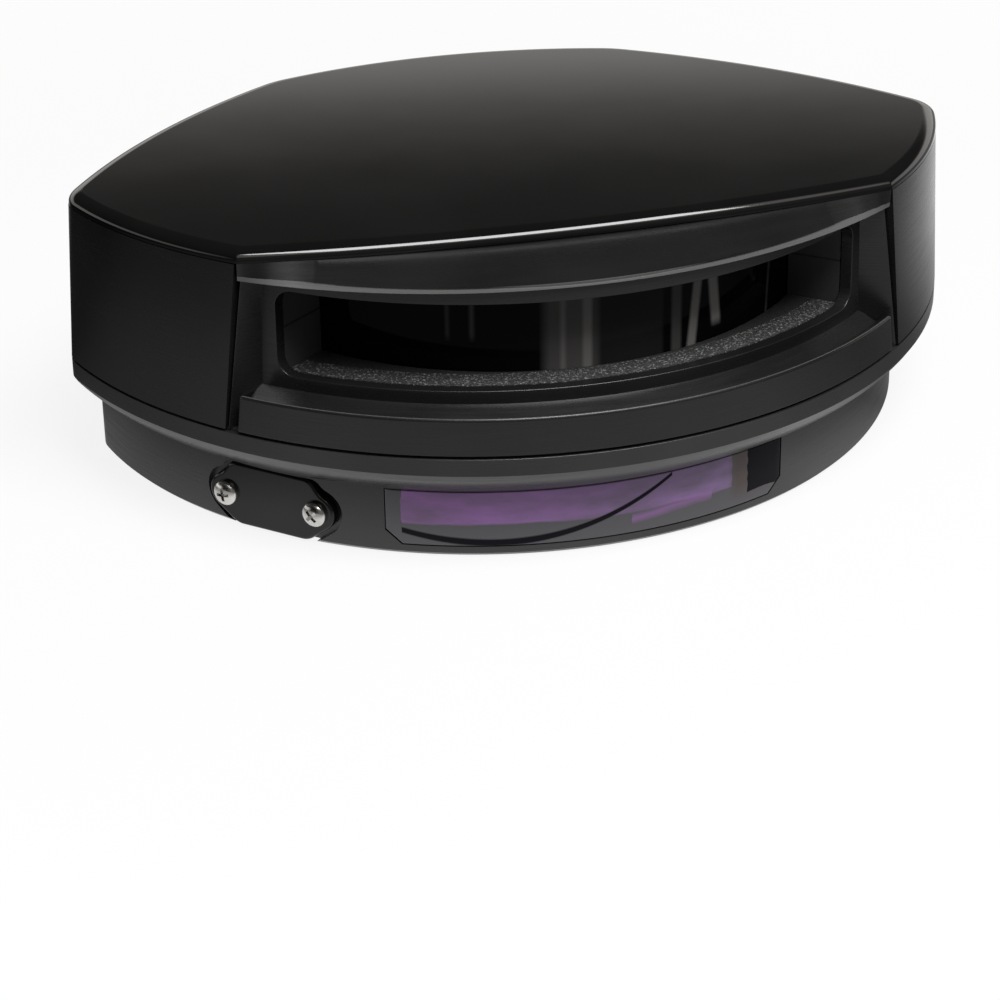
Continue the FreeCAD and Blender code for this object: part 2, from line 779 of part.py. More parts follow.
def build_upper_case():
    form = upper_form("upper_form")
    core = shield_block("upper_core", s.wall, upper_bottom, block_top - upper_bottom, s.draft)
    under_cover = slope_block("under_cover", s.cover_thickness)
    under_parting = slope_block("under_parting", s.cover_thickness + s.parting_gap)
    opening = jamb_wedge("front_opening", as_size(0.0))

    # upper shell, open below, above and at the front, with a boss for each case screw
    shell = cut("upper_shell", common("upper_walls", form, under_parting), core, opening)
    boss_height = s.case_boss_top - upper_bottom
    bosses = joined("case_bosses", rods("case_boss", case_posts, s.case_post, upper_bottom, boss_height))
    bosses = common("trimmed_bosses", bosses, form)
    holes = rods("case_thread", case_posts, s.large_shank + s.screw_play, upper_bottom,
                 boss_height - s.wall)
    node(cut("upper_housing", joined("upper_with_bosses", [shell, bosses]), *holes), "upper_housing")

    # top cover: a plate with a bowed front edge and a locating lip inside the walls
    half = s.brow_half_width
    ends = brow_top_reach - s.brow_top_radius + root(s.brow_top_radius * s.brow_top_radius - half * half)
    bow = [(-half, -ends, s.brow_top_radius), (half, -ends), (s.reach, -ends), (s.reach, s.reach),
           (-s.reach, s.reach), (-s.reach, -ends)]
    lid = cut("cover_plate", upper_form("cover_form", bow), under_cover)
    lip_outer = shield_block("lip_outer", s.wall + s.fit, upper_bottom, block_top - upper_bottom, s.draft)
    lip_inner = shield_block("lip_inner", s.wall + s.fit + s.cover_lip, upper_bottom,
                             block_top - upper_bottom, s.draft)
    lip_ring = common("lip_band", cut("lip_ring", lip_outer, lip_inner), under_cover)
    lip_floor = slope_block("lip_floor", s.cover_thickness + s.cover_lip_depth)
    front_limit = box("lip_front", (-s.reach, s.reach), (-s.reach, -s.brow_depth + s.flange_lap),
                      (as_size(0.0), s.reach))
    lip = cut("cover_lip_band", lip_ring, lip_floor, front_limit)
    node(joined("top_cover", [lid, lip]), "top_cover")

    # front bezel: lip, ledge and frame in one section, brow above, faceted jambs at both ends; the
    # sides of the slot go on with the flare of the bay behind it
    ledge_front = s.seam_radius - (s.ledge_height - upper_bottom) * tangent(s.draft)
    lip_inner_radius = ledge_front - s.lip_thickness
    ledge_bottom = s.ledge_height - s.ledge_thickness
    section = [(-ledge_front - s.wall, upper_bottom), (-lip_inner_radius, upper_bottom),
               (-lip_inner_radius, ledge_bottom), (-frame_inner, ledge_bottom),
               (-frame_inner, brow_height),
               (-frame_radius, brow_height), (-frame_radius, s.ledge_height),
               (-ledge_front - s.wall, s.ledge_height)]
    ring = spun("bezel_ring", section, s.bezel_sweep)
    brow = lofted("brow_block",
                  brow_section("brow_low", brow_low_reach, s.brow_low_radius, brow_height),
                  brow_section("brow_top", brow_top_reach, s.brow_top_radius,
                               top_at(-brow_top_reach) - s.cover_thickness))
    lip_ring = common("bezel_lip", ring, jamb_wedge("lip_plan", s.lip_end))
    plan = jamb_wedge("bezel_plan", s.jamb_gap)
    brow = common("bezel_brow", brow, plan)
    jambs = cut("bezel_jambs", plan, jamb_wedge("jamb_facets", s.facet_inset, s.facet_angle),
                cylinder("jamb_core", frame_inner, as_size(0.0), s.reach))
    flange_outer = s.wall + s.fit
    flange_inner = flange_outer + s.flange_thickness
    height = block_top - upper_bottom
    flange_shell = cut("flange_shell",
                       shield_block("flange_outer", flange_outer, upper_bottom, height, s.draft),
                       shield_block("flange_inner", flange_inner, upper_bottom, height, s.draft))
    flange_plan = cut("flange_plan", jamb_wedge("flange_wide", -s.flange_lap),
                      jamb_wedge("flange_narrow", s.jamb_gap + s.jamb_thickness / 2))
    flange = common("jamb_flange", flange_shell, flange_plan)
    bezel = common("bezel_trimmed", joined("bezel_joined", [lip_ring, brow, jambs, flange]), form)
    bezel = common("bezel_under_cover", bezel, under_parting)
    lip_clear = slope_block("lip_clear", s.cover_thickness + s.cover_lip_depth + s.fit)
    flange_zone = box("flange_zone", (-s.reach, s.reach), (-s.brow_depth, s.reach), (as_size(0.0), s.reach))
    half_slot = s.slot_half_width
    corner = s.slot_corner
    slot = [(-half_slot + corner, s.slot_bottom), (half_slot - corner, s.slot_bottom, corner),
            (half_slot, s.slot_bottom + corner), (half_slot, slot_top - corner, corner),
            (half_slot - corner, slot_top), (-half_slot + corner, slot_top, corner),
            (-half_slot, slot_top - corner), (-half_slot, s.slot_bottom + corner, corner)]
    slot_block = common("slot_block", extruded("slot_way", free_sketch("slot", slot, FRONT_VIEW), s.reach),
                        bay_block("slot_sides", as_size(0.0), s.bay_floor, baffle_top))
    node(cut("front_bezel", bezel, slot_block, cut("flange_tops", flange_zone, lip_clear)), "front_bezel")


def pane_outline(name, play):
    """Lower window, seen from the front: cut-off lower corners."""
    half = s.pane_half_width - play
    low = s.pane_bottom + play
    high = s.pane_top - play
    corner = s.pane_corner
    corners = [(-half + corner, low), (half - corner, low), (half, low + corner), (half, high),
               (-half, high), (-half, low + corner)]
    return extruded(name, free_sketch(name, corners, FRONT_VIEW), s.reach)


def tube(name, inner, outer, bottom, height):
    return cut(name, cylinder(f"{name}_outer", outer, bottom, height),
               cylinder(f"{name}_inner", inner, bottom, height))


def port_body(name, draw_outline, start, depth):
    """Block on the flat port seat: an outline seen from outside, padded outwards from a distance."""
    body = new_body(name)
    sketch = body_sketch(body, "XZ_Plane", start)
    draw_outline(sketch)
    add_pad(body, sketch, depth)
    bind(body, "Placement.Rotation.Angle", s.port_turn)
    return body


def plate_corners(grow, bottom):
    """Outline of the connector cover: a tapered plate with an ear round each screw."""
    pitch = s.plate_screw_pitch / 2
    height = s.plate_screw_height
    ear = s.ear_radius + grow
    top_half = s.plate_top_half + grow
    foot_half = s.plate_foot_half + grow
    upper_x = pitch + ear * cosine(s.ear_upper_turn)
    upper_z = height + ear * sine(s.ear_upper_turn)
    lower_x = pitch + ear * cosine(s.ear_lower_turn)
    lower_z = height - ear * sine(s.ear_lower_turn)
    return [(-foot_half, bottom), (foot_half, bottom), (lower_x, lower_z, ear), (upper_x, upper_z),
            (top_half, s.plate_top), (-top_half, s.plate_top), (-upper_x, upper_z, ear), (-lower_x, lower_z)]


def port_screw_place(side):
    """Middle of a screw of the connector cover, on the outer face of the plate."""
    out = port_seat + s.gasket_thickness + s.plate_thickness
    along = s.plate_screw_pitch / 2 * side
    return (along * cosine(s.port_turn) + out * sine(s.port_turn),
            along * sine(s.port_turn) - out * cosine(s.port_turn))


def build_base():
    # outer form: a foot with a front wall of its own and the wider turned rim above it
    blank = shield_block("base_blank", as_size(0.0), as_size(0.0), s.rim_top)
    round_case_corners(blank, s.rim_top)
    profile = [(0, s.base_wall_top), (base_radius, s.base_wall_top, s.rim_curve),
               (s.seam_radius, s.rim_side_bottom), (s.seam_radius, s.rim_top), (0, s.rim_top)]
    rim = common("base_rim", blank, turned("rim_turned", profile))
    foot = shield_block("base_foot", as_size(0.0), as_size(0.0), s.base_wall_top, None, base_radius)
    round_case_corners(foot, s.base_wall_top, s.foot_round)
    add_chamfer(foot, s.base_edge, lambda edge: edge.BoundBox.ZMax < s.base_edge.value)
    outer = joined("base_outer", [foot, rim])
    wall = s.wall
    hollow_profile = [(0, s.floor), (base_radius - wall, s.floor), (base_radius - wall, s.base_wall_top),
                      (s.seam_radius - wall, s.rim_side_bottom), (s.seam_radius - wall, s.rim_top + wall),
                      (0, s.rim_top + wall)]
    hollow = common("base_hollow", shield_block("base_core", wall, as_size(0.0), s.rim_top + wall),
                    turned("hollow_turned", hollow_profile))
    shell = cut("base_shell", outer, hollow)

    # posts stand on the floor, inside the outer form
    posts = rods("case_post", case_posts, s.case_post, as_size(0.0), s.rim_top)
    posts += rods("chassis_post", chassis_posts, s.chassis_post, s.floor, s.chassis_bottom - s.floor)
    posts += rods("board_post", board_posts, s.board_post, s.floor, s.main_board_height - s.floor)
    posts += rods("insert_post", insert_posts, s.insert_boss, s.floor, s.insert_boss_top - s.floor)
    block_half = s.port_block_width / 2
    block = port_body("port_block", lambda sketch: draw(sketch, [
        (-block_half, s.floor), (block_half, s.floor), (block_half, s.base_wall_top),
        (-block_half, s.base_wall_top)]), port_seat - s.port_block_depth, s.port_block_depth)
    low_posts = common("trimmed_posts", joined("base_posts", posts + [block]),
                       cylinder("post_limit", base_radius - s.fit, as_size(0.0), s.chassis_bottom))
    solid = joined("base_solid", [shell, low_posts])

    # holes for the screws and inserts
    tools = rods("case_pass", case_posts, s.large_shank + s.pass_play, as_size(0.0), s.rim_top)
    tools += rods("case_bore", case_posts, s.large_head + s.pass_play, as_size(0.0), s.case_seat)
    tools += rods("chassis_thread", chassis_posts, s.large_shank + s.screw_play,
                  s.chassis_bottom - s.chassis_screw_length, s.chassis_screw_length)
    tools += rods("board_thread", board_posts, s.medium_shank + s.screw_play,
                  s.main_board_height - s.board_screw_length, s.board_screw_length)
    tools += rods("insert_hole", insert_posts, s.insert_radius + s.screw_play, as_size(0.0),
                  s.insert_length + s.fit)

    # seat of the lower window, with a smaller opening behind it
    seat = common("pane_seat", pane_outline("pane_recess", as_size(0.0)),
                  tube("pane_depth", base_radius - s.pane_thickness, s.seam_radius, as_size(0.0), s.rim_top))
    wall_inner = base_radius - wall - s.fit
    opening = common("pane_way", pane_outline("pane_opening", s.pane_bearing),
                     tube("pane_wall", wall_inner, s.seam_radius, as_size(0.0), s.rim_top))
    tools += [seat, opening]
    glass = common("lower_window", pane_outline("pane", s.fit / 2),
                   tube("pane_shell", base_radius - s.pane_thickness + s.fit / 4, base_radius,
                        as_size(0.0), s.rim_top))
    node(glass, "lower_window")

    # seat of the connector cover, the way in to the socket, and its two threads
    recess = plate_corners(s.plate_margin, -s.plate_bottom)
    tools.append(port_body("port_recess", lambda sketch: draw(sketch, recess), port_seat,
                           s.port_block_depth))
    half = s.socket_width / 2 + s.fit
    tools.append(port_body("port_opening", lambda sketch: draw(sketch, [
        (-half, s.socket_bottom - s.fit), (half, s.socket_bottom - s.fit),
        (half, s.main_board_height + s.fit), (-half, s.main_board_height + s.fit)]),
        port_seat - s.port_block_depth * 2, s.port_block_depth * 3))

    def threads(sketch):
        for side in (-0.5, 0.5):
            draw_circle(sketch, s.plate_screw_pitch * side, s.plate_screw_height,
                        s.small_shank + s.screw_play)

    thread_depth = s.plate_screw_length - s.gasket_thickness - s.plate_thickness
    tools.append(port_body("port_threads", threads, port_seat - thread_depth, thread_depth))
    node(cut("base_housing", solid, *tools), "base_housing")


def build_port():
    outline = plate_corners(as_size(0.0), s.plate_bottom)
    holes = [(s.plate_screw_pitch * side, s.plate_screw_height, s.small_shank + s.pass_play)
             for side in (-0.5, 0.5)]

    def cover(sketch):
        draw(sketch, outline)
        for hole in holes:
            draw_circle(sketch, *hole)

    def gasket(sketch):
        cover(sketch)
        half = s.socket_width / 2 + s.fit
        draw(sketch, [(-half, s.socket_bottom - s.fit), (half, s.socket_bottom - s.fit),
                      (half, s.main_board_height + s.fit), (-half, s.main_board_height + s.fit)])

    node(port_body("connector_gasket", gasket, port_seat, s.gasket_thickness), "connector_gasket")
    node(port_body("connector_cover", cover, port_seat + s.gasket_thickness, s.plate_thickness),
         "connector_cover")
    outwards = FreeCAD.Rotation(FreeCAD.Vector(0, 0, 1), s.port_turn.value).multiply(FRONT_VIEW)
    places = [port_screw_place(side) for side in (-1.0, 1.0)]
    screws("connector_cover_screws", "small", s.plate_screw_length, places, s.plate_screw_height, outwards)

    half = s.socket_width / 2
    socket = port_body("connector_socket", lambda sketch: draw(sketch, [
        (-half, s.socket_bottom), (half, s.socket_bottom), (half, s.main_board_height),
        (-half, s.main_board_height)]), port_seat - s.socket_length - s.fit, s.socket_length)
    mouth = body_sketch(socket, "XZ_Plane", port_seat - s.fit)
    wall = s.socket_wall
    draw(mouth, [(-half + wall, s.socket_bottom + wall), (half - wall, s.socket_bottom + wall),
                 (half - wall, s.main_board_height - wall), (-half + wall, s.main_board_height - wall)])
    add_pocket(socket, mouth, s.socket_depth)
    node(socket, "connector_socket")


def build_seals():
    outer = shield_block("gasket_outer", s.gasket_inset, s.rim_top, s.gasket_height)
    inner = shield_block("gasket_inner", s.gasket_inset + s.gasket_width, s.rim_top, s.gasket_height)
    node(cut("seam_gasket", outer, inner), "seam_gasket")


# The slot: curved window, its shroud in two halves and the seal on the floor.

def bay_block(name, play, bottom, top):
    """The flared space between the slot and the window."""
    throat = s.bay_throat_x - play
    mouth_reach = s.seam_radius
    mouth = throat + (mouth_reach - bay_throat_reach) * s.bay_flare
    corners = [(-mouth, -mouth_reach), (mouth, -mouth_reach), (throat, -bay_throat_reach),
               (throat, -scan_reach), (-throat, -scan_reach), (-throat, -bay_throat_reach)]
    return extruded(name, free_sketch(name, corners, z=bottom), top - bottom)


def window_sector(name, inner, outer, bottom, top, angle):
    """Upright ring sector round the mirror's axis, even about the front."""
    body = new_body(name)
    sketch = body_sketch(body, "YZ_Plane")
    draw(sketch, [(-outer, bottom), (-inner, bottom), (-inner, top), (-outer, top)])
    spin = body.newObject("PartDesign::Revolution", f"{name}_spin")
    spin.Profile = sketch
    spin.ReferenceAxis = (sketch, ["V_Axis"])
    spin.Midplane = True
    bind(spin, "Angle", angle)
    place(body, y=scan_y)
    return body


def build_slot():
    inner = s.window_radius - s.window_thickness
    window = window_sector("scan_window", inner, s.window_radius, s.bay_floor, bay_ceiling, s.window_angle)
    node(window, "scan_window")
    groove = window_sector("window_groove", inner - s.fit, s.window_radius + s.fit, s.bay_floor,
                           bay_ceiling, s.window_angle + s.window_play)
    halves = (("lower_baffle", chassis_top, baffle_split), ("upper_baffle", baffle_split, baffle_top))
    plan = jamb_wedge("baffle_plan", s.jamb_gap + s.jamb_thickness + s.fit)
    for name, bottom, top in halves:
        height = top - bottom
        blank = cut(f"{name}_blank", cylinder(f"{name}_front", frame_inner - s.fit, bottom, height),
                    cylinder(f"{name}_back", baffle_inner_radius, bottom, height, 0.0, scan_y))
        blank = common(f"{name}_plan", blank, plan)
        bay = bay_block(f"{name}_bay", as_size(0.0), s.bay_floor, bay_ceiling)
        node(cut(name, blank, bay, groove), name)
    seal_height = s.slot_bottom - s.bay_floor
    strip = cut("seal_ring", cylinder("seal_front", frame_inner - s.fit, s.bay_floor, seal_height),
                cylinder("seal_back", s.window_radius + s.fit, s.bay_floor, seal_height, 0.0, scan_y))
    strip = common("window_seal", strip, bay_block("seal_plan", s.fit, s.bay_floor, s.slot_bottom))
    node(strip, "window_seal")


# Boards and chassis.

def build_boards():
    front = s.main_board_front_half
    half = s.main_board_half
    back = s.main_board_back_half
    corners = [(-front, -main_board_front), (front, -main_board_front),
               (half, -main_board_corner_reach), (half, -s.main_board_side_reach),
               (back, s.main_board_back), (-back, s.main_board_back),
               (-half, -s.main_board_side_reach), (-half, -main_board_corner_reach)]
    holes = [(x, y, s.medium_shank + s.pass_play) for x, y in board_posts]
    holes += [(x, y, s.chassis_post + s.post_play) for x, y in chassis_posts[2:]]
    node(plate("main_board", corners, s.main_board_height, s.board_thickness, holes), "main_board")
    screws("board_screws", "medium", s.board_screw_length, board_posts, board_top)

    chip = s.chip_side / 2
    node(plate("processor_chip", rectangle(chip, -s.chip_reach - chip, -s.chip_reach + chip), board_top,
               s.chip_height), "processor_chip")
    lights = []
    for index, step in enumerate((-1.0, 0.0, 1.0), 1):
        middle = s.led_pitch * step
        light = box(f"status_led_{index}", (middle - s.led_side / 2, middle + s.led_side / 2),
                    (-led_reach - s.led_side / 2, -led_reach + s.led_side / 2),
                    (s.main_board_height - s.led_height, s.main_board_height))
        lights.append(light)
    node(group("status_leds", lights), "status_leds")


def optic_screw_places():
    """Places of the screws under the two optic blocks, at opposite corners of each."""
    places = []
    for side, front, length, width in ((-1.0, s.laser_front, s.laser_length, s.laser_width),
                                       (1.0, s.detector_front, s.detector_length, s.detector_width)):
        across = width / 2 - s.optic_screw_edge
        places.append(((front + s.optic_screw_inset) * side, -beam_reach - across))
        places.append(((front + length - s.optic_screw_inset) * side, -beam_reach + across))
    return places


def build_chassis():
    inset = s.seam_radius - frame_inner + s.fit
    blank = shield_block("chassis_blank", inset, s.chassis_bottom, s.chassis_thickness)
    legs = rods("motor_post", motor_posts, s.motor_post, motor_board_top, s.chassis_bottom - motor_board_top)
    solid = joined("chassis_solid", [blank] + legs)
    tools = rods("boss_clear", case_posts, s.case_post + s.post_play, s.chassis_bottom, s.chassis_thickness)
    tools += rods("chassis_pass", chassis_posts, s.large_shank + s.pass_play, s.chassis_bottom,
                  s.chassis_thickness)
    tools += rods("optic_pass", optic_screw_places(), s.medium_shank + s.pass_play, s.chassis_bottom,
                  s.chassis_thickness)
    tools += rods("motor_thread", motor_posts, s.small_shank + s.screw_play, motor_board_top,
                  s.motor_screw_length - s.board_thickness)
    tools.append(cylinder("motor_opening", motor_hole, s.chassis_bottom, s.chassis_thickness, 0.0, scan_y))
    node(cut("chassis", solid, *tools), "chassis")
    screws("chassis_screws", "large", s.chassis_screw_length + s.chassis_thickness - s.screw_play,
           chassis_posts, chassis_top)
    screws("optics_screws", "medium", s.optic_screw_length, optic_screw_places(), s.chassis_bottom,
           UPSIDE_DOWN)
    screws("motor_screws", "small", s.motor_screw_length - s.screw_play, motor_posts, s.motor_board_height,
           UPSIDE_DOWN)
    screws("housing_screws", "large", s.case_screw_length, case_posts, s.case_seat, UPSIDE_DOWN)

    bore = s.insert_bore
    inserts = [turned(f"mount_insert_{index}",
                      [(bore, 0), (s.insert_radius, 0), (s.insert_radius, s.insert_length),
                       (bore, s.insert_length)], x, y)
               for index, (x, y) in enumerate(insert_posts, 1)]
    node(group("mount_inserts", inserts), "mount_inserts")


# Scan motor and mirror, on the upright axis behind the curved window.

def motor_piece(name, profile):
    return node(turned(name, profile, 0.0, scan_y), name)


def tube_profile(inner, outer, bottom, top):
    return [(inner, bottom), (outer, bottom), (outer, top), (inner, top)]


def build_motor():
    holes = [(x, y - scan_y, s.small_shank + s.pass_play) for x, y in motor_posts]
    board = new_body("motor_board")
    sketch = body_sketch(board, "XY_Plane", s.motor_board_height)
    draw_circle(sketch, 0, 0, motor_board_radius)
    for hole in holes:
        draw_circle(sketch, *hole)
    add_pad(board, sketch, s.board_thickness)
    place(board, y=scan_y)
    node(board, "motor_board")

    # bearing sleeve with a foot and an inner shoulder between the bearings
    shoulder = s.bearing_radius - s.sleeve_floor
    foot_top = motor_board_top + s.sleeve_flange_height
    middle = lower_bearing_bottom + s.bearing_width
    motor_piece("bearing_sleeve", [
        (bearing_bore + s.sleeve_floor, motor_board_top), (s.sleeve_flange, motor_board_top),
        (s.sleeve_flange, foot_top), (sleeve_radius, foot_top), (sleeve_radius, sleeve_top),
        (sleeve_bore, sleeve_top), (sleeve_bore, upper_bearing_bottom), (shoulder, upper_bearing_bottom),
        (shoulder, middle), (sleeve_bore, middle), (sleeve_bore, lower_bearing_bottom),
        (bearing_bore + s.sleeve_floor, lower_bearing_bottom)])
    for name, bottom in (("lower_bearing", lower_bearing_bottom), ("upper_bearing", upper_bearing_bottom)):
        motor_piece(name, tube_profile(bearing_bore, s.bearing_radius, bottom, bottom + s.bearing_width))

    # stator: a ring core with nine poles, slots cut by a polar pattern
    core = turned("wound_stator", tube_profile(sleeve_radius + s.screw_play, s.stator_radius, stator_bottom,
                                               stator_bottom + s.stator_height), 0.0, scan_y)
    slot = body_sketch(core, "XY_Plane", stator_bottom + s.stator_height)
    slot_inner = sleeve_radius + s.stator_core_wall
    slot_outer = s.stator_radius - s.stator_tip
    gap = s.stator_slot_gap / 2
    wide = gap * 2
    draw(slot, [(-gap, -s.stator_radius - gap), (gap, -s.stator_radius - gap), (gap, -slot_outer),
                (wide, -slot_outer), (gap, -slot_inner), (-gap, -slot_inner), (-wide, -slot_outer),
                (-gap, -slot_outer)])
    pocket = add_pocket(core, slot, s.stator_height)
    ring = core.newObject("PartDesign::PolarPattern", "stator_slots")
    ring.Originals = [pocket]
    ring.Axis = (slot, ["N_Axis"])
    ring.Angle = 360
    ring.Occurrences = 9
    core.Tip = ring
    node(core, "wound_stator")

    # spinning pieces
    shaft = s.shaft_radius
    edge = s.shaft_radius / 5
    motor_piece("motor_shaft", [(0, s.shaft_foot), (shaft - edge, s.shaft_foot),
                                (shaft, s.shaft_foot + edge), (shaft, shaft_top - edge),
                                (shaft - edge, shaft_top), (0, shaft_top)])
    skirt_bottom = bell_bottom - s.bell_skirt
    motor_piece("rotor_bell", [(bell_inner, skirt_bottom), (bell_radius, skirt_bottom),
                               (bell_radius, hub_bottom), (bearing_bore, hub_bottom),
                               (bearing_bore, bell_bottom), (bell_inner, bell_bottom)])
    motor_piece("rotor_magnet", tube_profile(magnet_inner, bell_inner - s.bearing_play, stator_bottom,
                                             stator_bottom + s.stator_height))
    motor_piece("mirror_hub", [(bearing_bore, hub_bottom), (s.hub_radius, hub_bottom),
                               (s.hub_radius, mirror_bottom), (s.hub_spigot, mirror_bottom),
                               (s.hub_spigot, mirror_bottom + s.hub_spigot_height),
                               (bearing_bore, mirror_bottom + s.hub_spigot_height)])
    half = s.mirror_side / 2
    flat = half - s.mirror_corner
    outline = [(-flat, -half), (flat, -half), (half, -flat), (half, flat), (flat, half),
               (-flat, half), (-half, flat), (-half, -flat)]
    mirror = plate("mirror_block", outline, mirror_bottom, mirror_height,
                   [(0, 0, s.hub_spigot + s.screw_play)])
    place(mirror, y=scan_y)
    node(mirror, "mirror_block")
    motor_piece("mirror_clamp", [(bearing_bore, mirror_top), (s.clamp_radius, mirror_top),
                                 (s.clamp_radius, mirror_top + s.clamp_height / 2),
                                 (s.clamp_radius - s.clamp_height, mirror_top + s.clamp_height),
                                 (bearing_bore, mirror_top + s.clamp_height)])


# Sender on the left of the mirror and receiver on its right, each in a block on the chassis.

def lens_profile(radius, edge, curve):
    """Half section of a lens with one flat and one domed face."""
    middle = edge + curve - root(curve * curve - radius * radius)
    return [(0, 0), (radius, 0), (radius, edge, curve), (0, middle)], middle


def optic_channel(names, side, sizes, facing):
    """One optic block with its lens, its diode in a can and its board."""
    block_name, lens_name, can_name, board_name = names
    front, length, width, height, lens, flange, can = sizes
    lens_radius, lens_edge, lens_curve = lens
    flange_radius, flange_height = flange
    can_radius, can_height = can
    back = front + length
    play = s.screw_play
    y_range = (-beam_reach - width / 2, -beam_reach + width / 2)
    x_range = (front, back) if side > 0 else (-back, -front)
    block = box(f"{block_name}_blank", x_range, y_range, (chassis_top, chassis_top + height))
    profile, lens_depth = lens_profile(lens_radius, lens_edge, lens_curve)
    lens_seat = front + lens_depth
    can_seat = back - flange_height
    bores = [(lens_radius + play, front, lens_seat), (can_radius + play, lens_seat, can_seat),
             (flange_radius + play, can_seat, back)]
    tools = [cylinder(f"{block_name}_bore_{index}", radius, beam_height, end - start, start * side,
                      -beam_reach, facing) for index, (radius, start, end) in enumerate(bores, 1)]
    threads = [(x, y) for x, y in optic_screw_places() if x.value * side > 0]
    tools += rods(f"{block_name}_thread", threads, s.medium_shank + play, chassis_top,
                  s.optic_screw_length - s.chassis_thickness + play)
    node(cut(block_name, block, *tools), block_name)
    inwards = TOWARDS_LEFT if side > 0 else TOWARDS_RIGHT
    node(turned(lens_name, profile, lens_seat * side, -beam_reach, beam_height, inwards), lens_name)
    can_profile = [(0, 0), (flange_radius, 0), (flange_radius, flange_height), (can_radius, flange_height),
                   (can_radius, flange_height + can_height), (0, flange_height + can_height)]
    node(turned(can_name, can_profile, back * side, -beam_reach, beam_height, inwards), can_name)
    start = back + s.optic_board_gap
    end = start + s.board_thickness
    board_x = (start, end) if side > 0 else (-end, -start)
    half = s.optic_board_width / 2
    board = box(board_name, board_x, (-beam_reach - half, -beam_reach + half),
                (chassis_top, chassis_top + optic_board_height))
    node(board, board_name)


def build_optics():
    optic_channel(("laser_holder", "collimator_lens", "laser_diode", "laser_board"), -1.0,
                  (s.laser_front, s.laser_length, s.laser_width, laser_block_height,
                   (s.laser_lens_radius, s.laser_lens_edge, s.laser_lens_curve),
                   (s.laser_flange_radius, s.laser_flange), (s.laser_can_radius, s.laser_can)), TOWARDS_LEFT)
    optic_channel(("receiver_holder", "receiver_lens", "detector", "detector_board"), 1.0,
                  (s.detector_front, s.detector_length, s.detector_width, detector_block_height,
                   (detector_lens_radius, s.detector_lens_edge, s.detector_lens_curve),
                   (s.detector_flange_radius, s.detector_flange), (s.detector_can_radius, s.detector_can)),
                  TOWARDS_RIGHT)


def check():
    """Stops if any object failed or any finished piece has no valid solid."""
    for obj in doc.Objects:
        if "Invalid" in obj.State or "Error" in obj.State:
            raise ValueError(f"{obj.Name} failed: {obj.State}")
    for name, obj in nodes.items():
        shape = obj.Shape
        if shape.isNull() or not shape.isValid() or not shape.Solids:
            raise ValueError(f"{name} has no valid solid")


def main():
    build_base()
    build_port()
    build_seals()
    build_upper_case()
    build_slot()
    build_boards()
    build_chassis()
    build_motor()
    build_optics()
    doc.recompute()
    check()
    os.makedirs("parts", exist_ok=True)
    for name, obj in nodes.items():
        obj.Shape.exportStep(f"parts/{name}.step")
        extent = obj.Shape.BoundBox
        print(f"{name}: {len(obj.Shape.Solids)} solid(s), {obj.Shape.Volume:.1f} mm3, "
              f"x {extent.XMin:.1f} {extent.XMax:.1f}, y {extent.YMin:.1f} {extent.YMax:.1f}, "
              f"z {extent.ZMin:.1f} {extent.ZMax:.1f}")


main()
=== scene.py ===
"""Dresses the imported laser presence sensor: moulded shells, windows, port, finishes and studio."""

import json
import logging
import math
from collections.abc import Iterable, Sequence
from dataclasses import dataclass, replace
from enum import Enum

import bmesh
import bpy
from bmesh.types import BMEdge, BMesh, BMFace, BMVert
from bpy.types import Material, NodeSocket as Socket, Object, World
from mathutils import Matrix, Vector


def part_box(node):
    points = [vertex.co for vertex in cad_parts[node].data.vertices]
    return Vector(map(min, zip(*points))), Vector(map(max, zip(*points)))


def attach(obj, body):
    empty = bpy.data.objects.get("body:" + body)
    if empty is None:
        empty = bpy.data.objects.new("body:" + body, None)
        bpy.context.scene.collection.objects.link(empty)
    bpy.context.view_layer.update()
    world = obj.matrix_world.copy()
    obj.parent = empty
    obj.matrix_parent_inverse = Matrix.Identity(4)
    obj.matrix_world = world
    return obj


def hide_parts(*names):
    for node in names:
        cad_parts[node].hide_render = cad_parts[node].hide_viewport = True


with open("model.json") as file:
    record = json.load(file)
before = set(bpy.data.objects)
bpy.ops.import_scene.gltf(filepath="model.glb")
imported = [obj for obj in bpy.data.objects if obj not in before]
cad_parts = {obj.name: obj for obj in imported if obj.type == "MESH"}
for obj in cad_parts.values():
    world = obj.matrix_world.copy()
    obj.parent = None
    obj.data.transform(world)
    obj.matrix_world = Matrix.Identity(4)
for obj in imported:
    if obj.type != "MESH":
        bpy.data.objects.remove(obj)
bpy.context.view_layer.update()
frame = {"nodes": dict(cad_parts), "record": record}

LOG = logging.getLogger("sensor")
MM = 0.001
UP = Vector((0.0, 0.0, 1.0))
CASE = "case"

Pair = tuple[float, float]
Triple = tuple[float, float, float]

# Tolerances in millimetres: points that count as one, points on a cut and points on a face.
MERGE = 0.0005
ON_CUT = 0.0001
ON_FACE = 0.001

# How far a cutting tool stands past what it cuts, in millimetres.
OVERSHOOT = 1.0

# Faces round an upright bar, and bands along a bent pane.
ROD_STEPS = 32
PANE_STEPS = 72

# The range that holds nearly all values of a noise pattern.
NOISE_LOW, NOISE_HIGH = 0.3, 0.7

# Height of the base's rim and places of the case screws, in millimetres.
RIM_TOP = 16.85
CASE_SCREWS = ((-50.0, -8.5), (50.0, -8.5), (-20.0, 20.3), (20.0, 20.3))


class Join(Enum):
    """How a tool shape acts on a blank."""

    CUT = "DIFFERENCE"
    ADD = "UNION"


class Side(Enum):
    """Left or right half of the sensor, seen from its front."""

    LEFT = -1.0
    RIGHT = 1.0


# Shaping helpers: every shape is built in millimetres and scaled when it becomes a piece.

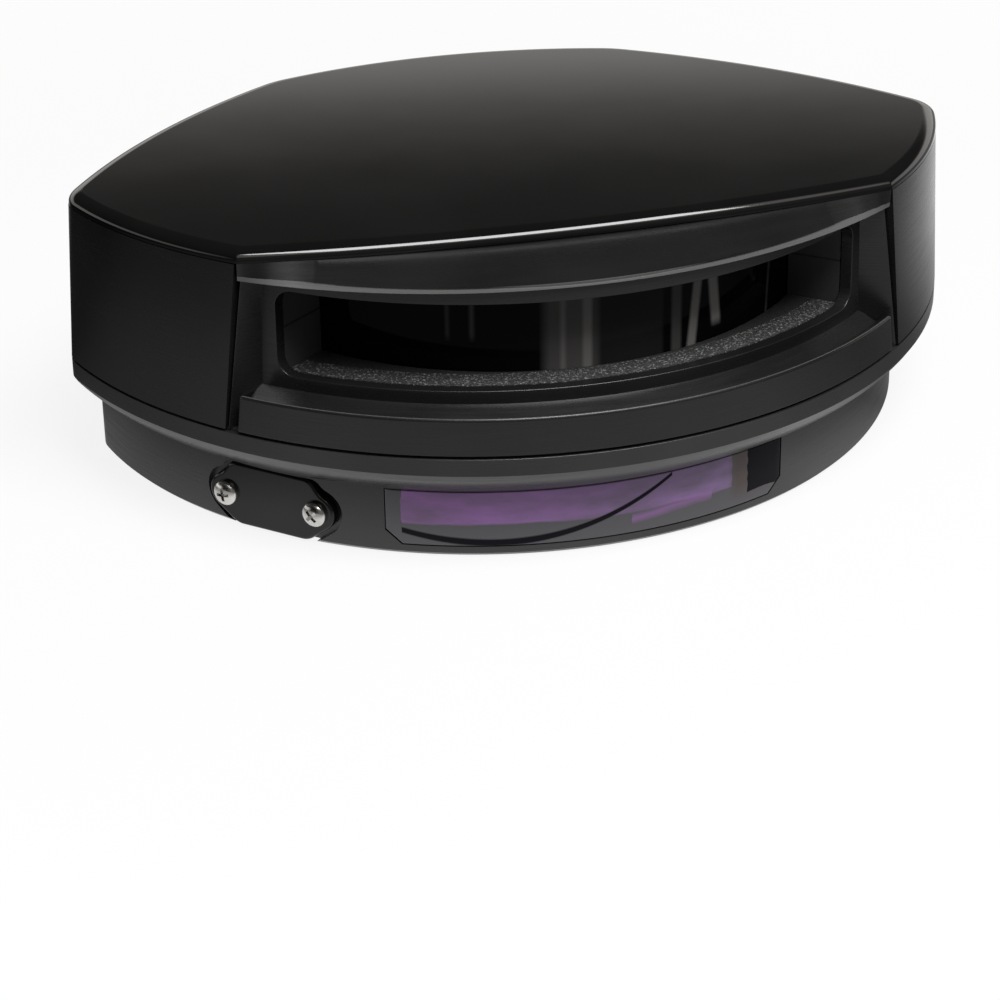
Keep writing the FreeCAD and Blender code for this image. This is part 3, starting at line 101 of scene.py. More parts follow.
@dataclass(frozen=True)
class Arc:
    """One side of a plan outline: a circle and the number of steps along it."""

    x: float
    y: float
    radius: float
    steps: int


@dataclass(frozen=True)
class Turn:
    """The rounded corner that follows an arc of a plan outline."""

    radius: float
    near: Pair
    steps: int = 8


def crossing(first: Arc, second: Arc, radius: float, near: Pair) -> Vector:
    """Finds the middle of the round that touches two arcs from inside.

    Args:
        first: Arc before the corner.
        second: Arc after the corner.
        radius: Radius of the round.
        near: A point close to the corner.

    Returns:
        The middle of the round.
    """
    start = Vector((first.x, first.y))
    along = Vector((second.x, second.y)) - start
    gap = along.length
    along.normalize()
    reach = first.radius - radius
    run = (reach ** 2 - (second.radius - radius) ** 2 + gap ** 2) / (2.0 * gap)
    rise = math.sqrt(reach ** 2 - run ** 2)
    across = Vector((-along.y, along.x)) * rise
    foot = start + along * run
    return min(foot + across, foot - across, key=lambda point: (point - Vector(near)).length)


def touch(arc: Arc, middle: Vector, radius: float) -> Vector:
    """Returns the point where a round touches an arc from inside."""
    centre = Vector((arc.x, arc.y))
    return centre + (middle - centre) * (arc.radius / (arc.radius - radius))


def swing(shape: BMesh, vert: BMVert, centre: Vector, end: Vector, steps: int) -> BMVert:
    """Draws an arc by spinning a vertex anticlockwise round a centre.

    Args:
        shape: Mesh under construction.
        vert: Vertex at the arc's start.
        centre: Middle of the arc, in plan.
        end: End of the arc, in plan.
        steps: Number of edges along the arc.

    Returns:
        The vertex at the arc's end.
    """
    begin = vert.co.xy - centre
    finish = end - centre
    angle = math.atan2(begin.cross(finish), begin.dot(finish)) % math.tau
    made = bmesh.ops.spin(shape, geom=[vert], cent=(centre.x, centre.y, vert.co.z), axis=UP,
                          angle=angle, steps=steps)
    return made["geom_last"][0]


def plan_loop(shape: BMesh, z: float, arcs: Sequence[Arc], turns: Sequence[Turn]) -> list[BMEdge]:
    """Draws a closed plan outline of arcs with a rounded corner after each.

    Args:
        shape: Mesh under construction.
        z: Height of the outline.
        arcs: Sides in anticlockwise order.
        turns: Corner after each side.

    Returns:
        The outline's edges.
    """
    before = set(shape.edges)
    following = list(arcs[1:]) + [arcs[0]]
    middles = [crossing(arc, after, turn.radius, turn.near)
               for arc, after, turn in zip(arcs, following, turns)]
    first = touch(arcs[0], middles[-1], turns[-1].radius)
    start = shape.verts.new((first.x, first.y, z))
    vert = start
    for arc, after, turn, middle in zip(arcs, following, turns, middles):
        vert = swing(shape, vert, Vector((arc.x, arc.y)), touch(arc, middle, turn.radius), arc.steps)
        vert = swing(shape, vert, middle, touch(after, middle, turn.radius), turn.steps)
    bmesh.ops.weld_verts(shape, targetmap={vert: start})
    return [edge for edge in shape.edges if edge not in before]


def bow(shape: BMesh, y: float, radius: float, half: float, z: float, steps: int) -> list[BMEdge]:
    """Draws an open arc in front of a centre, even to both sides.

    Args:
        shape: Mesh under construction.
        y: Place of the centre on the sensor's middle plane.
        radius: Radius of the arc.
        half: Half of its width.
        z: Height.
        steps: Number of edges along the arc.

    Returns:
        The arc's edges.
    """
    before = set(shape.edges)
    centre = Vector((0.0, y))
    start = shape.verts.new((-half, centre.y - radius * math.cos(math.asin(half / radius)), z))
    swing(shape, start, centre, Vector((half, start.co.y)), steps)
    return [edge for edge in shape.edges if edge not in before]


def loft(shape: BMesh, loops: Sequence[list[BMEdge]]) -> None:
    """Joins closed outlines, each to the next, with a band of faces."""
    for lower, upper in zip(loops, loops[1:]):
        bmesh.ops.bridge_loops(shape, edges=lower + upper)


def cap(shape: BMesh, loop: list[BMEdge]) -> None:
    """Closes an outline with one face."""
    bmesh.ops.contextual_create(shape, geom=loop)


def outward(shape: BMesh) -> None:
    """Merges doubles and turns every face of a closed shape outwards."""
    bmesh.ops.remove_doubles(shape, verts=shape.verts[:], dist=MERGE)
    bmesh.ops.recalc_face_normals(shape, faces=shape.faces[:])


def close(shape: BMesh) -> None:
    """Fills every open border."""
    bmesh.ops.holes_fill(shape, edges=[edge for edge in shape.edges if edge.is_boundary])


def thicken(shape: BMesh, depth: float) -> None:
    """Grows a flat shape into a slab.

    Args:
        shape: Mesh under construction.
        depth: Thickness of the slab, downwards if negative.
    """
    grown = bmesh.ops.extrude_face_region(shape, geom=shape.faces[:])
    verts = [item for item in grown["geom"] if isinstance(item, BMVert)]
    bmesh.ops.translate(shape, vec=UP * depth, verts=verts)
    outward(shape)


def cut(shape: BMesh, point: Vector, normal: Vector, clear: bool = True) -> list[BMEdge]:
    """Cuts a shape along a plane.

    Args:
        shape: Mesh under construction.
        point: A point of the plane.
        normal: Direction of the part that goes.
        clear: Whether that part goes, or only edges are cut in.

    Returns:
        The edges along the cut.
    """
    geom = shape.verts[:] + shape.edges[:] + shape.faces[:]
    made = bmesh.ops.bisect_plane(shape, geom=geom, dist=ON_CUT, plane_co=point, plane_no=normal,
                                  clear_outer=clear)
    return [item for item in made["geom_cut"] if isinstance(item, BMEdge)]


def slice_away(shape: BMesh, point: Vector, normal: Vector) -> None:
    """Removes what lies on the normal's side of a plane and closes the cut."""
    bmesh.ops.holes_fill(shape, edges=cut(shape, point, normal))


def section(corners: Sequence[Pair], y: float = 0.0) -> BMesh:
    """Draws a section in the sensor's middle plane.

    Args:
        corners: Radius and height of each corner, the radius counted forwards.
        y: Place of the upright axis that the radius counts from.

    Returns:
        A shape of one face.
    """
    shape = bmesh.new()
    verts = [shape.verts.new((0.0, y - radius, z)) for radius, z in corners]
    bmesh.ops.contextual_create(shape, geom=verts)
    return shape


def spun(shape: BMesh, angle: float, steps: int, y: float = 0.0) -> BMesh:
    """Spins a section round an upright axis, evenly to both sides of the front.

    Args:
        shape: A section of one face.
        angle: Whole angle of the turn.
        steps: Number of faces along it.
        y: Place of the axis.

    Returns:
        The same shape, closed.
    """
    centre = Vector((0.0, y, 0.0))
    face = shape.faces[:][0]
    start = Matrix.Rotation(-angle / 2.0, 3, "Z")
    bmesh.ops.rotate(shape, cent=centre, matrix=start, verts=face.verts[:])
    geom = [face, *face.edges, *face.verts]
    bmesh.ops.duplicate(shape, geom=geom)
    bmesh.ops.spin(shape, geom=geom, cent=centre, axis=UP, angle=angle, steps=steps)
    outward(shape)
    return shape


def soften(shape: BMesh, geom: Iterable[BMEdge | BMVert], width: float, segments: int = 3,
           corners: bool = False) -> None:
    """Rounds edges, or the corners of a flat shape.

    Args:
        shape: Mesh under construction.
        geom: Edges or corners to round.
        width: Width of the round on each face.
        segments: Number of faces across the round.
        corners: Whether corners are rounded.
    """
    bmesh.ops.bevel(shape, geom=list(geom), offset=width, offset_type="OFFSET",
                    affect="VERTICES" if corners else "EDGES", segments=segments, profile=0.5,
                    material=-1, clamp_overlap=not corners)


def sharp_edges(shape: BMesh, degrees: float = 30.0) -> list[BMEdge]:
    """Returns the edges whose faces meet at more than an angle."""
    limit = math.radians(degrees)
    return [edge for edge in shape.edges if edge.is_manifold and edge.calc_face_angle(0.0) > limit]


def move(shape: BMesh, matrix: Matrix) -> None:
    """Applies a transform to a whole shape."""
    bmesh.ops.transform(shape, matrix=matrix, verts=shape.verts[:])


def block(low: Sequence[float], high: Sequence[float]) -> BMesh:
    """Makes a box from its two corners.

    Args:
        low: Its lower corner.
        high: Its upper corner.

    Returns:
        The closed box.
    """
    shape = bmesh.new()
    bmesh.ops.create_cube(shape, size=1.0)
    size = Vector(high) - Vector(low)
    middle = (Vector(high) + Vector(low)) / 2.0
    move(shape, Matrix.Translation(middle) @ Matrix.Diagonal((*size, 1.0)))
    return shape


def rods(places: Sequence[Pair], low: float, high: float, radius: float) -> BMesh:
    """Makes a shape of several upright round bars.

    Args:
        places: Place of each bar in plan.
        low: Height of the lower ends.
        high: Height of the upper ends.
        radius: Radius of the bars.

    Returns:
        The closed bars.
    """
    shape = bmesh.new()
    for x, y in places:
        place = Matrix.Translation((x, y, (low + high) / 2.0))
        bmesh.ops.create_cone(shape, cap_ends=True, segments=ROD_STEPS, radius1=radius, radius2=radius,
                              depth=high - low, matrix=place)
    return shape


def combine(blank: BMesh, tool: BMesh, join: Join) -> BMesh:
    """Joins a tool to a blank, or cuts it out, and frees both.

    Args:
        blank: Closed shape.
        tool: Closed shape that acts on it.
        join: What the tool does.

    Returns:
        The new shape.
    """
    stock = as_object("stock", blank)
    cutter = as_object("cutter", tool)
    step = stock.modifiers.new("join", "BOOLEAN")
    step.operation = join.value
    step.solver = "EXACT"
    step.use_self = True
    step.object = cutter
    graph = bpy.context.evaluated_depsgraph_get()
    made = bpy.data.meshes.new_from_object(stock.evaluated_get(graph))
    result = bmesh.new()
    result.from_mesh(made)
    for item in (stock, cutter):
        mesh = item.data
        bpy.data.objects.remove(item)
        bpy.data.meshes.remove(mesh)
    bpy.data.meshes.remove(made)
    bmesh.ops.remove_doubles(result, verts=result.verts[:], dist=MERGE)
    return result


def heal(shape: BMesh) -> None:
    """Drops faces without area that a join has left, and closes the slits beside them."""
    bmesh.ops.dissolve_degenerate(shape, dist=ON_FACE, edges=shape.edges[:])
    close(shape)
    outward(shape)


def as_object(name: str, shape: BMesh) -> Object:
    """Puts a shape into an object of the scene.

    Args:
        name: Name of the object and its mesh.
        shape: Shape, freed here.

    Returns:
        The object.
    """
    mesh = bpy.data.meshes.new(name)
    shape.to_mesh(mesh)
    shape.free()
    made = bpy.data.objects.new(name, mesh)
    bpy.context.scene.collection.objects.link(made)
    return made


def publish(name: str, shape: BMesh, finish: "Finish", node: str | None = None,
            crease: float = 32.0) -> Object:
    """Turns a finished shape into a piece of the sensor.

    Args:
        name: Name of the piece.
        shape: Shape in millimetres, freed here.
        finish: Finish of the piece.
        node: CAD node that the piece stands for.
        crease: Angle above which an edge stays sharp.

    Returns:
        The piece.
    """
    bmesh.ops.scale(shape, vec=(MM, MM, MM), verts=shape.verts[:])
    piece = as_object(name, shape)
    mesh = piece.data
    mesh.shade_smooth()
    mesh.set_sharp_from_angle(angle=math.radians(crease))
    mesh.materials.append(finish.material())
    even = piece.modifiers.new("even_shading", "WEIGHTED_NORMAL")
    even.keep_sharp = True
    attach(piece, CASE)
    if node:
        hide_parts(node)
    LOG.info("%s: %d faces", name, len(mesh.polygons))
    return piece


# Finishes: each is a frozen set of values that makes its own node material.

FINISH_PREFIX = "finish_"


class NodeSheet:
    """Short way to lay out the nodes of one material or of the surroundings."""

    def __init__(self, made: Material | World, shader: str, place: str) -> None:
        """Starts from the block's own shader node and one kind of texture coordinate.

        Args:
            made: Material or surroundings to lay out.
            shader: Name of its shader node.
            place: Name of the texture coordinate.
        """
        self.made = made
        made.use_nodes = True
        self.nodes = made.node_tree.nodes
        self.links = made.node_tree.links
        self.shader = self.nodes[shader]
        self.place = self.nodes.new("ShaderNodeTexCoord").outputs[place]

    @classmethod
    def material(cls, name: str) -> "NodeSheet":
        """Starts a material with a principled shader, laid out on object coordinates."""
        return cls(bpy.data.materials.new(FINISH_PREFIX + name), "Principled BSDF", "Object")

    @classmethod
    def world(cls, name: str) -> "NodeSheet":
        """Starts the surroundings, laid out on directions."""
        return cls(bpy.data.worlds.new(name), "Background", "Generated")

    def put(self, socket: Socket, value: object) -> None:
        """Links a socket or sets its value.

        Args:
            socket: Socket to feed.
            value: Another node's socket, or a plain value.
        """
        if isinstance(value, Socket):
            self.links.new(value, socket)
        else:
            socket.default_value = value

    def shade(self, **values: object) -> None:
        """Sets or links the principled shader's sockets, named with underscores."""
        for name, value in values.items():
            self.put(self.shader.inputs[name.replace("_", " ")], value)

    def stretched(self, scale: Sequence[float], turn: float = 0.0) -> Socket:
        """Returns object coordinates scaled per axis and turned about the upright axis.

        Args:
            scale: Scale of each axis.
            turn: Angle about the upright axis.

        Returns:
            The new coordinates.
        """
        mapping = self.nodes.new("ShaderNodeMapping")
        self.links.new(self.place, mapping.inputs["Vector"])
        mapping.inputs["Scale"].default_value = scale
        mapping.inputs["Rotation"].default_value = (0.0, 0.0, turn)
        return mapping.outputs["Vector"]

    def noise(self, scale: float, detail: float = 2.0, vector: Socket | None = None,
              rough: float = 0.5) -> Socket:
        """Returns a noise pattern between 0 and 1.

        Args:
            scale: Number of waves in a metre.
            detail: Number of finer layers.
            vector: Coordinates where they aren't the object's own.
            rough: Share of the finer layers.

        Returns:
            The pattern.
        """
        node = self.nodes.new("ShaderNodeTexNoise")
        self.links.new(vector or self.place, node.inputs["Vector"])
        node.inputs["Scale"].default_value = scale
        node.inputs["Detail"].default_value = detail
        node.inputs["Roughness"].default_value = rough
        return node.outputs["Fac"]

    def spread(self, value: Socket, low: float, high: float, to_low: float,
               to_high: float) -> Socket:
        """Returns a value mapped from one range to another, held at the ends.

        Args:
            value: Value to map.
            low: Start of its range.
            high: End of its range.
            to_low: Result at the start.
            to_high: Result at the end.

        Returns:
            The mapped value.
        """
        node = self.nodes.new("ShaderNodeMapRange")
        self.links.new(value, node.inputs["Value"])
        names = ("From Min", "From Max", "To Min", "To Max")
        for name, number in zip(names, (low, high, to_low, to_high)):
            node.inputs[name].default_value = number
        return node.outputs["Result"]

    def rise(self, value: Socket, low: float, high: float) -> Socket:
        """Returns a value mapped from a range to the one from 0 to 1."""
        return self.spread(value, low, high, 0.0, 1.0)

    def vary(self, pattern: Socket, low: float, high: float) -> Socket:
        """Returns a noise pattern mapped to a range."""
        return self.spread(pattern, NOISE_LOW, NOISE_HIGH, low, high)

    def sums(self, operation: str, *values: object) -> Socket:
        """Returns the result of a math node.

        Args:
            operation: What the node does.
            values: Its inputs, in order.

        Returns:
            The result.
        """
        node = self.nodes.new("ShaderNodeMath")
        node.operation = operation
        for socket, value in zip(node.inputs, values):
            self.put(socket, value)
        return node.outputs["Value"]

    def blend(self, amount: object, first: object, second: object) -> Socket:
        """Returns a mix of two colours.

        Args:
            amount: Share of the second colour.
            first: First colour.
            second: Second colour.

        Returns:
            The mixed colour.
        """
        node = self.nodes.new("ShaderNodeMix")
        node.data_type = "RGBA"
        colours = [socket for socket in node.inputs if socket.type == "RGBA"]
        self.put(node.inputs["Factor"], amount)
        self.put(colours[0], first)
        self.put(colours[1], second)
        return next(socket for socket in node.outputs if socket.type == "RGBA")

    def bump(self, height: Socket, depth: float) -> Socket:
        """Returns a normal from a height pattern, its depth in millimetres.

        Args:
            height: Pattern between 0 and 1.
            depth: Height of a full step, in millimetres.

        Returns:
            The bumped normal.
        """
        node = self.nodes.new("ShaderNodeBump")
        self.links.new(height, node.inputs["Height"])
        node.inputs["Distance"].default_value = depth * MM
        return node.outputs["Normal"]

    def ramp(self, value: Socket, low: float, high: float,
             stops: Sequence[Pair]) -> Socket:
        """Returns a grey level read from stops of (place, level) between two places.

        Args:
            value: Value to look up.
            low: First place.
            high: Last place.
            stops: Place and level of each stop.

        Returns:
            The grey level.
        """
        node = self.nodes.new("ShaderNodeValToRGB")
        self.links.new(self.rise(value, low, high), node.inputs["Fac"])
        elements = node.color_ramp.elements
        while len(elements) < len(stops):
            elements.new(1.0)
        for element, (place, level) in zip(elements, stops):
            element.position = (place - low) / (high - low)
            element.color = grey(level)
        return node.outputs["Color"]

    def within(self, value: Socket, low: float, high: float) -> Socket:
        """Returns 1 where a value lies between two numbers, else 0."""
        above = self.sums("GREATER_THAN", value, low)
        return self.sums("MULTIPLY", above, self.sums("LESS_THAN", value, high))

    def reach(self, first: object, second: object) -> Socket:
        """Returns the length of the long side over two short ones.

        Args:
            first: One short side.
            second: The other short side.

        Returns:
            The length.
        """
        squares = self.sums("MULTIPLY_ADD", first, first, self.sums("MULTIPLY", second, second))
        return self.sums("SQRT", squares)

    def bearing(self, axes: dict[str, Socket]) -> Socket:
        """Returns the angle round the upright axis in degrees, 0 in front and growing to the right."""
        forwards = self.sums("MULTIPLY", axes["Y"], -1.0)
        return self.sums("DEGREES", self.sums("ARCTAN2", axes["X"], forwards))

    def seen_straight(self) -> Socket:
        """Returns 1 for what the camera sees directly or through clear glass."""
        path = self.nodes.new("ShaderNodeLightPath").outputs
        return self.sums("MAXIMUM", path["Is Camera Ray"], path["Is Transmission Ray"])

    def axes(self) -> dict[str, Socket]:
        """Returns the object coordinates, one socket for each axis.

        Returns:
            The sockets by the letter of their axis.
        """
        node = self.nodes.new("ShaderNodeSeparateXYZ")
        self.links.new(self.place, node.inputs["Vector"])
        return {axis: node.outputs[axis] for axis in "XYZ"}


Colour = tuple[float, float, float, float]


def grey(level: float) -> Colour:
    """Returns a neutral colour."""
    return (level, level, level, 1.0)


@dataclass(frozen=True)
class Finish:
    """Name and base look that every finish shares."""

    name: str

    def material(self) -> Material:
        """Returns the finish's material, made on first use."""
        return bpy.data.materials.get(FINISH_PREFIX + self.name) or self.make()

    def make(self) -> Material:
        """Makes the material; each kind of finish has its own way."""
        raise NotImplementedError


@dataclass(frozen=True)
class PaintedHighlightEdge:
    """Painted highlight line along a rounded edge of a bowed moulding: centre and radius of the bow, and the
    heights it lies between.
    """

    centre: float
    radius: float
    low: float
    high: float
    soft: float = 0.1

    def mask(self, sheet: NodeSheet) -> Socket:
        """Returns 1 on the edge and 0 off it.

        Args:
            sheet: Node sheet of the finish.

        Returns:
            The mask's socket.
        """
        axes = sheet.axes()
        out = sheet.reach(axes["X"], sheet.sums("SUBTRACT", axes["Y"], self.centre * MM))
        on = sheet.rise(out, (self.radius - self.soft) * MM, (self.radius + self.soft) * MM)
        return sheet.sums("MULTIPLY", on, sheet.within(axes["Z"], self.low * MM, self.high * MM))


@dataclass(frozen=True)
class MouldedPlastic(Finish):
    """Black moulded plastic with flow streaks and a faint grain, and painted highlight lines along given
    edges.
    """

    colour: Colour = grey(0.012)
    worn: Colour = grey(0.02)
    rough: float = 0.28
    rough_change: float = 0.08
    streak: float = 0.004
    grain: float = 0.002
    specular: float = 0.5
    streak_scale: Triple = (90.0, 90.0, 2600.0)
    streak_share: float = 0.6
    grain_scale: float = 2600.0
    cloud_scale: float = 55.0
    cloud_low: float = 0.35
    cloud_high: float = 0.7
    joint: float | None = None
    joint_half: float = 0.11 * MM
    # Edges that get a painted highlight line, and the colour painted there.
    edges: tuple[PaintedHighlightEdge, ...] = ()
    painted_highlight: Colour = grey(0.09)

    def make(self) -> Material:
        """Makes the streaked plastic.

        Returns:
            The material.
        """
        sheet = NodeSheet.material(self.name)
        streaks = sheet.noise(1.0, detail=3.0, vector=sheet.stretched(self.streak_scale), rough=0.6)
        grain = sheet.noise(self.grain_scale)
        cloud = sheet.noise(self.cloud_scale, detail=3.0)
        colour = sheet.blend(sheet.rise(cloud, self.cloud_low, self.cloud_high), self.colour, self.worn)
        if self.joint is not None:
            line = sheet.within(sheet.axes()["Z"], self.joint - self.joint_half, self.joint + self.joint_half)
            colour = sheet.blend(line, colour, grey(0.0))
        # Painted highlights: a lighter colour along rounded edges, standing in for the light they catch.
        for edge in self.edges:
            colour = sheet.blend(edge.mask(sheet), colour, self.painted_highlight)
        rest = sheet.sums("MULTIPLY", cloud, 1.0 - self.streak_share)
        change = sheet.sums("MULTIPLY_ADD", streaks, self.streak_share, rest)
        rough = sheet.vary(change, self.rough - self.rough_change, self.rough + self.rough_change)
        height = sheet.sums("MULTIPLY_ADD", streaks, self.streak / self.grain, grain)
        sheet.shade(Base_Color=colour, Roughness=rough, Specular_IOR_Level=self.specular,
                    Normal=sheet.bump(height, self.grain))
        return sheet.made


@dataclass(frozen=True)
class RoughSeal(Finish):
    """Sealing strip: open and speckled along its front, smooth behind."""

    colour: Colour = grey(0.03)
    fleck: Colour = grey(0.26)
    smooth: Colour = grey(0.022)
    rough: float = 0.7
    rough_change: float = 0.35
    border: float = 54.9 * MM
    ragged: float = 1.2 * MM
    pit_scale: float = 1500.0
    pit_depth: float = 0.35
    fleck_scale: float = 3400.0
    fleck_low: float = 0.54
    fleck_high: float = 0.72

    def make(self) -> Material:
        """Makes the speckled strip.

        Returns:
            The material.
        """
        sheet = NodeSheet.material(self.name)
        axes = sheet.axes()
        pits = sheet.noise(self.pit_scale, detail=4.0, rough=0.7)
        flecks = sheet.rise(sheet.noise(self.fleck_scale, detail=3.0), self.fleck_low, self.fleck_high)
        border = sheet.sums("MULTIPLY_ADD", pits, self.ragged, self.border - self.ragged / 2.0)
        front = sheet.sums("GREATER_THAN", sheet.reach(axes["X"], axes["Y"]), border)
        speckled = sheet.blend(flecks, self.colour, self.fleck)
        height = sheet.sums("MULTIPLY", pits, front)
        sheet.shade(Base_Color=sheet.blend(front, self.smooth, speckled),
                    Roughness=sheet.vary(pits, self.rough - self.rough_change, self.rough),
                    Normal=sheet.bump(height, self.pit_depth))
        return sheet.made


@dataclass(frozen=True)
class Rubber(Finish):
    """Matt black seal."""

    colour: Colour = grey(0.010)
    dusty: Colour = grey(0.022)
    dust_scale: float = 420.0
    rough_low: float = 0.55
    rough_high: float = 0.8
    grain_scale: float = 3000.0
    grain: float = 0.01

    def make(self) -> Material:
        """Makes the matt rubber.

        Returns:
            The material.
        """
        sheet = NodeSheet.material(self.name)
        dust = sheet.noise(self.dust_scale, detail=4.0)
        sheet.shade(Base_Color=sheet.blend(dust, self.colour, self.dusty),
                    Roughness=sheet.vary(dust, self.rough_low, self.rough_high),
                    Normal=sheet.bump(sheet.noise(self.grain_scale), self.grain))
        return sheet.made


@dataclass(frozen=True)
class ReflectionBand:
    """Upright painted reflection band on dark glass: its two sides in degrees, strength, lean and lowest
    height.
    """

    left: float
    right: float
    level: float
    lean: float = 0.0
    low: float = 22.0
    soft: float = 0.35
    fade: float = 0.6


@dataclass(frozen=True)
class DarkGlass(Finish):
    """Dark filter plate; faint upright light bands are painted into its colour as reflections."""

    colour: Colour = (0.0008, 0.0006, 0.0010, 1.0)
    light: Colour = (0.36, 0.35, 0.345, 1.0)
    # Painted reflections on the curved glass; the last, narrow band is a painted highlight line near the
    # glass's end.
    reflection_bands: tuple[ReflectionBand, ...] = (
        ReflectionBand(-8.0, 1.2, 0.17, 0.0, 22.0, 1.0), ReflectionBand(-5.2, -4.3, 0.16), ReflectionBand(-1.2, 0.4, 0.2),
        ReflectionBand(1.0, 14.0, 0.03), ReflectionBand(-25.1, -24.6, 0.12, 0.0, 28.5), ReflectionBand(-20.9, -20.2, 0.14, 0.0, 28.5),
        ReflectionBand(15.8, 17.8, 0.14), ReflectionBand(20.0, 21.8, 0.42, 0.15), ReflectionBand(24.3, 26.4, 0.5, -0.15, 26.0),
        ReflectionBand(40.9, 41.4, 0.2, 0.1))
    centre_y: float = -12.6 * MM
    middle_z: float = 29.5 * MM
    rough: float = 0.05
    rough_low: float = 0.6
    rough_high: float = 1.5
    specular: float = 0.03
    film_scale: float = 60.0
    film: float = 0.01

    def make(self) -> Material:
        """Makes the dark glass.

        Returns:
            The material.
        """
        sheet = NodeSheet.material(self.name)
        axes = sheet.axes()
        film = sheet.noise(self.film_scale, detail=3.0)
        turn = sheet.sums("ARCTAN2", axes["X"], sheet.sums("SUBTRACT", self.centre_y, axes["Y"]))
        degrees = sheet.sums("DEGREES", turn)
        height = sheet.sums("DIVIDE", sheet.sums("SUBTRACT", axes["Z"], self.middle_z), MM)
        amount = sheet.sums("MULTIPLY", film, self.film)
        # Each band adds painted reflection light to the glass's colour.
        for band in self.reflection_bands:
            place = sheet.sums("SUBTRACT", degrees, sheet.sums("MULTIPLY", height, band.lean))
            rise = sheet.spread(place, band.left - band.soft, band.left + band.soft, 0.0, band.level)
            fall = sheet.spread(place, band.right - band.soft, band.right + band.soft, 1.0, 0.0)
            above = sheet.rise(axes["Z"], (band.low - band.fade) * MM, (band.low + band.fade) * MM)
            seen = sheet.sums("MULTIPLY", sheet.sums("MULTIPLY", rise, fall), above)
            amount = sheet.sums("ADD", amount, seen)
        sheet.shade(Base_Color=sheet.blend(amount, self.colour, self.light),
                    Roughness=sheet.vary(film, self.rough * self.rough_low, self.rough * self.rough_high),
                    Specular_IOR_Level=self.specular)
        return sheet.made


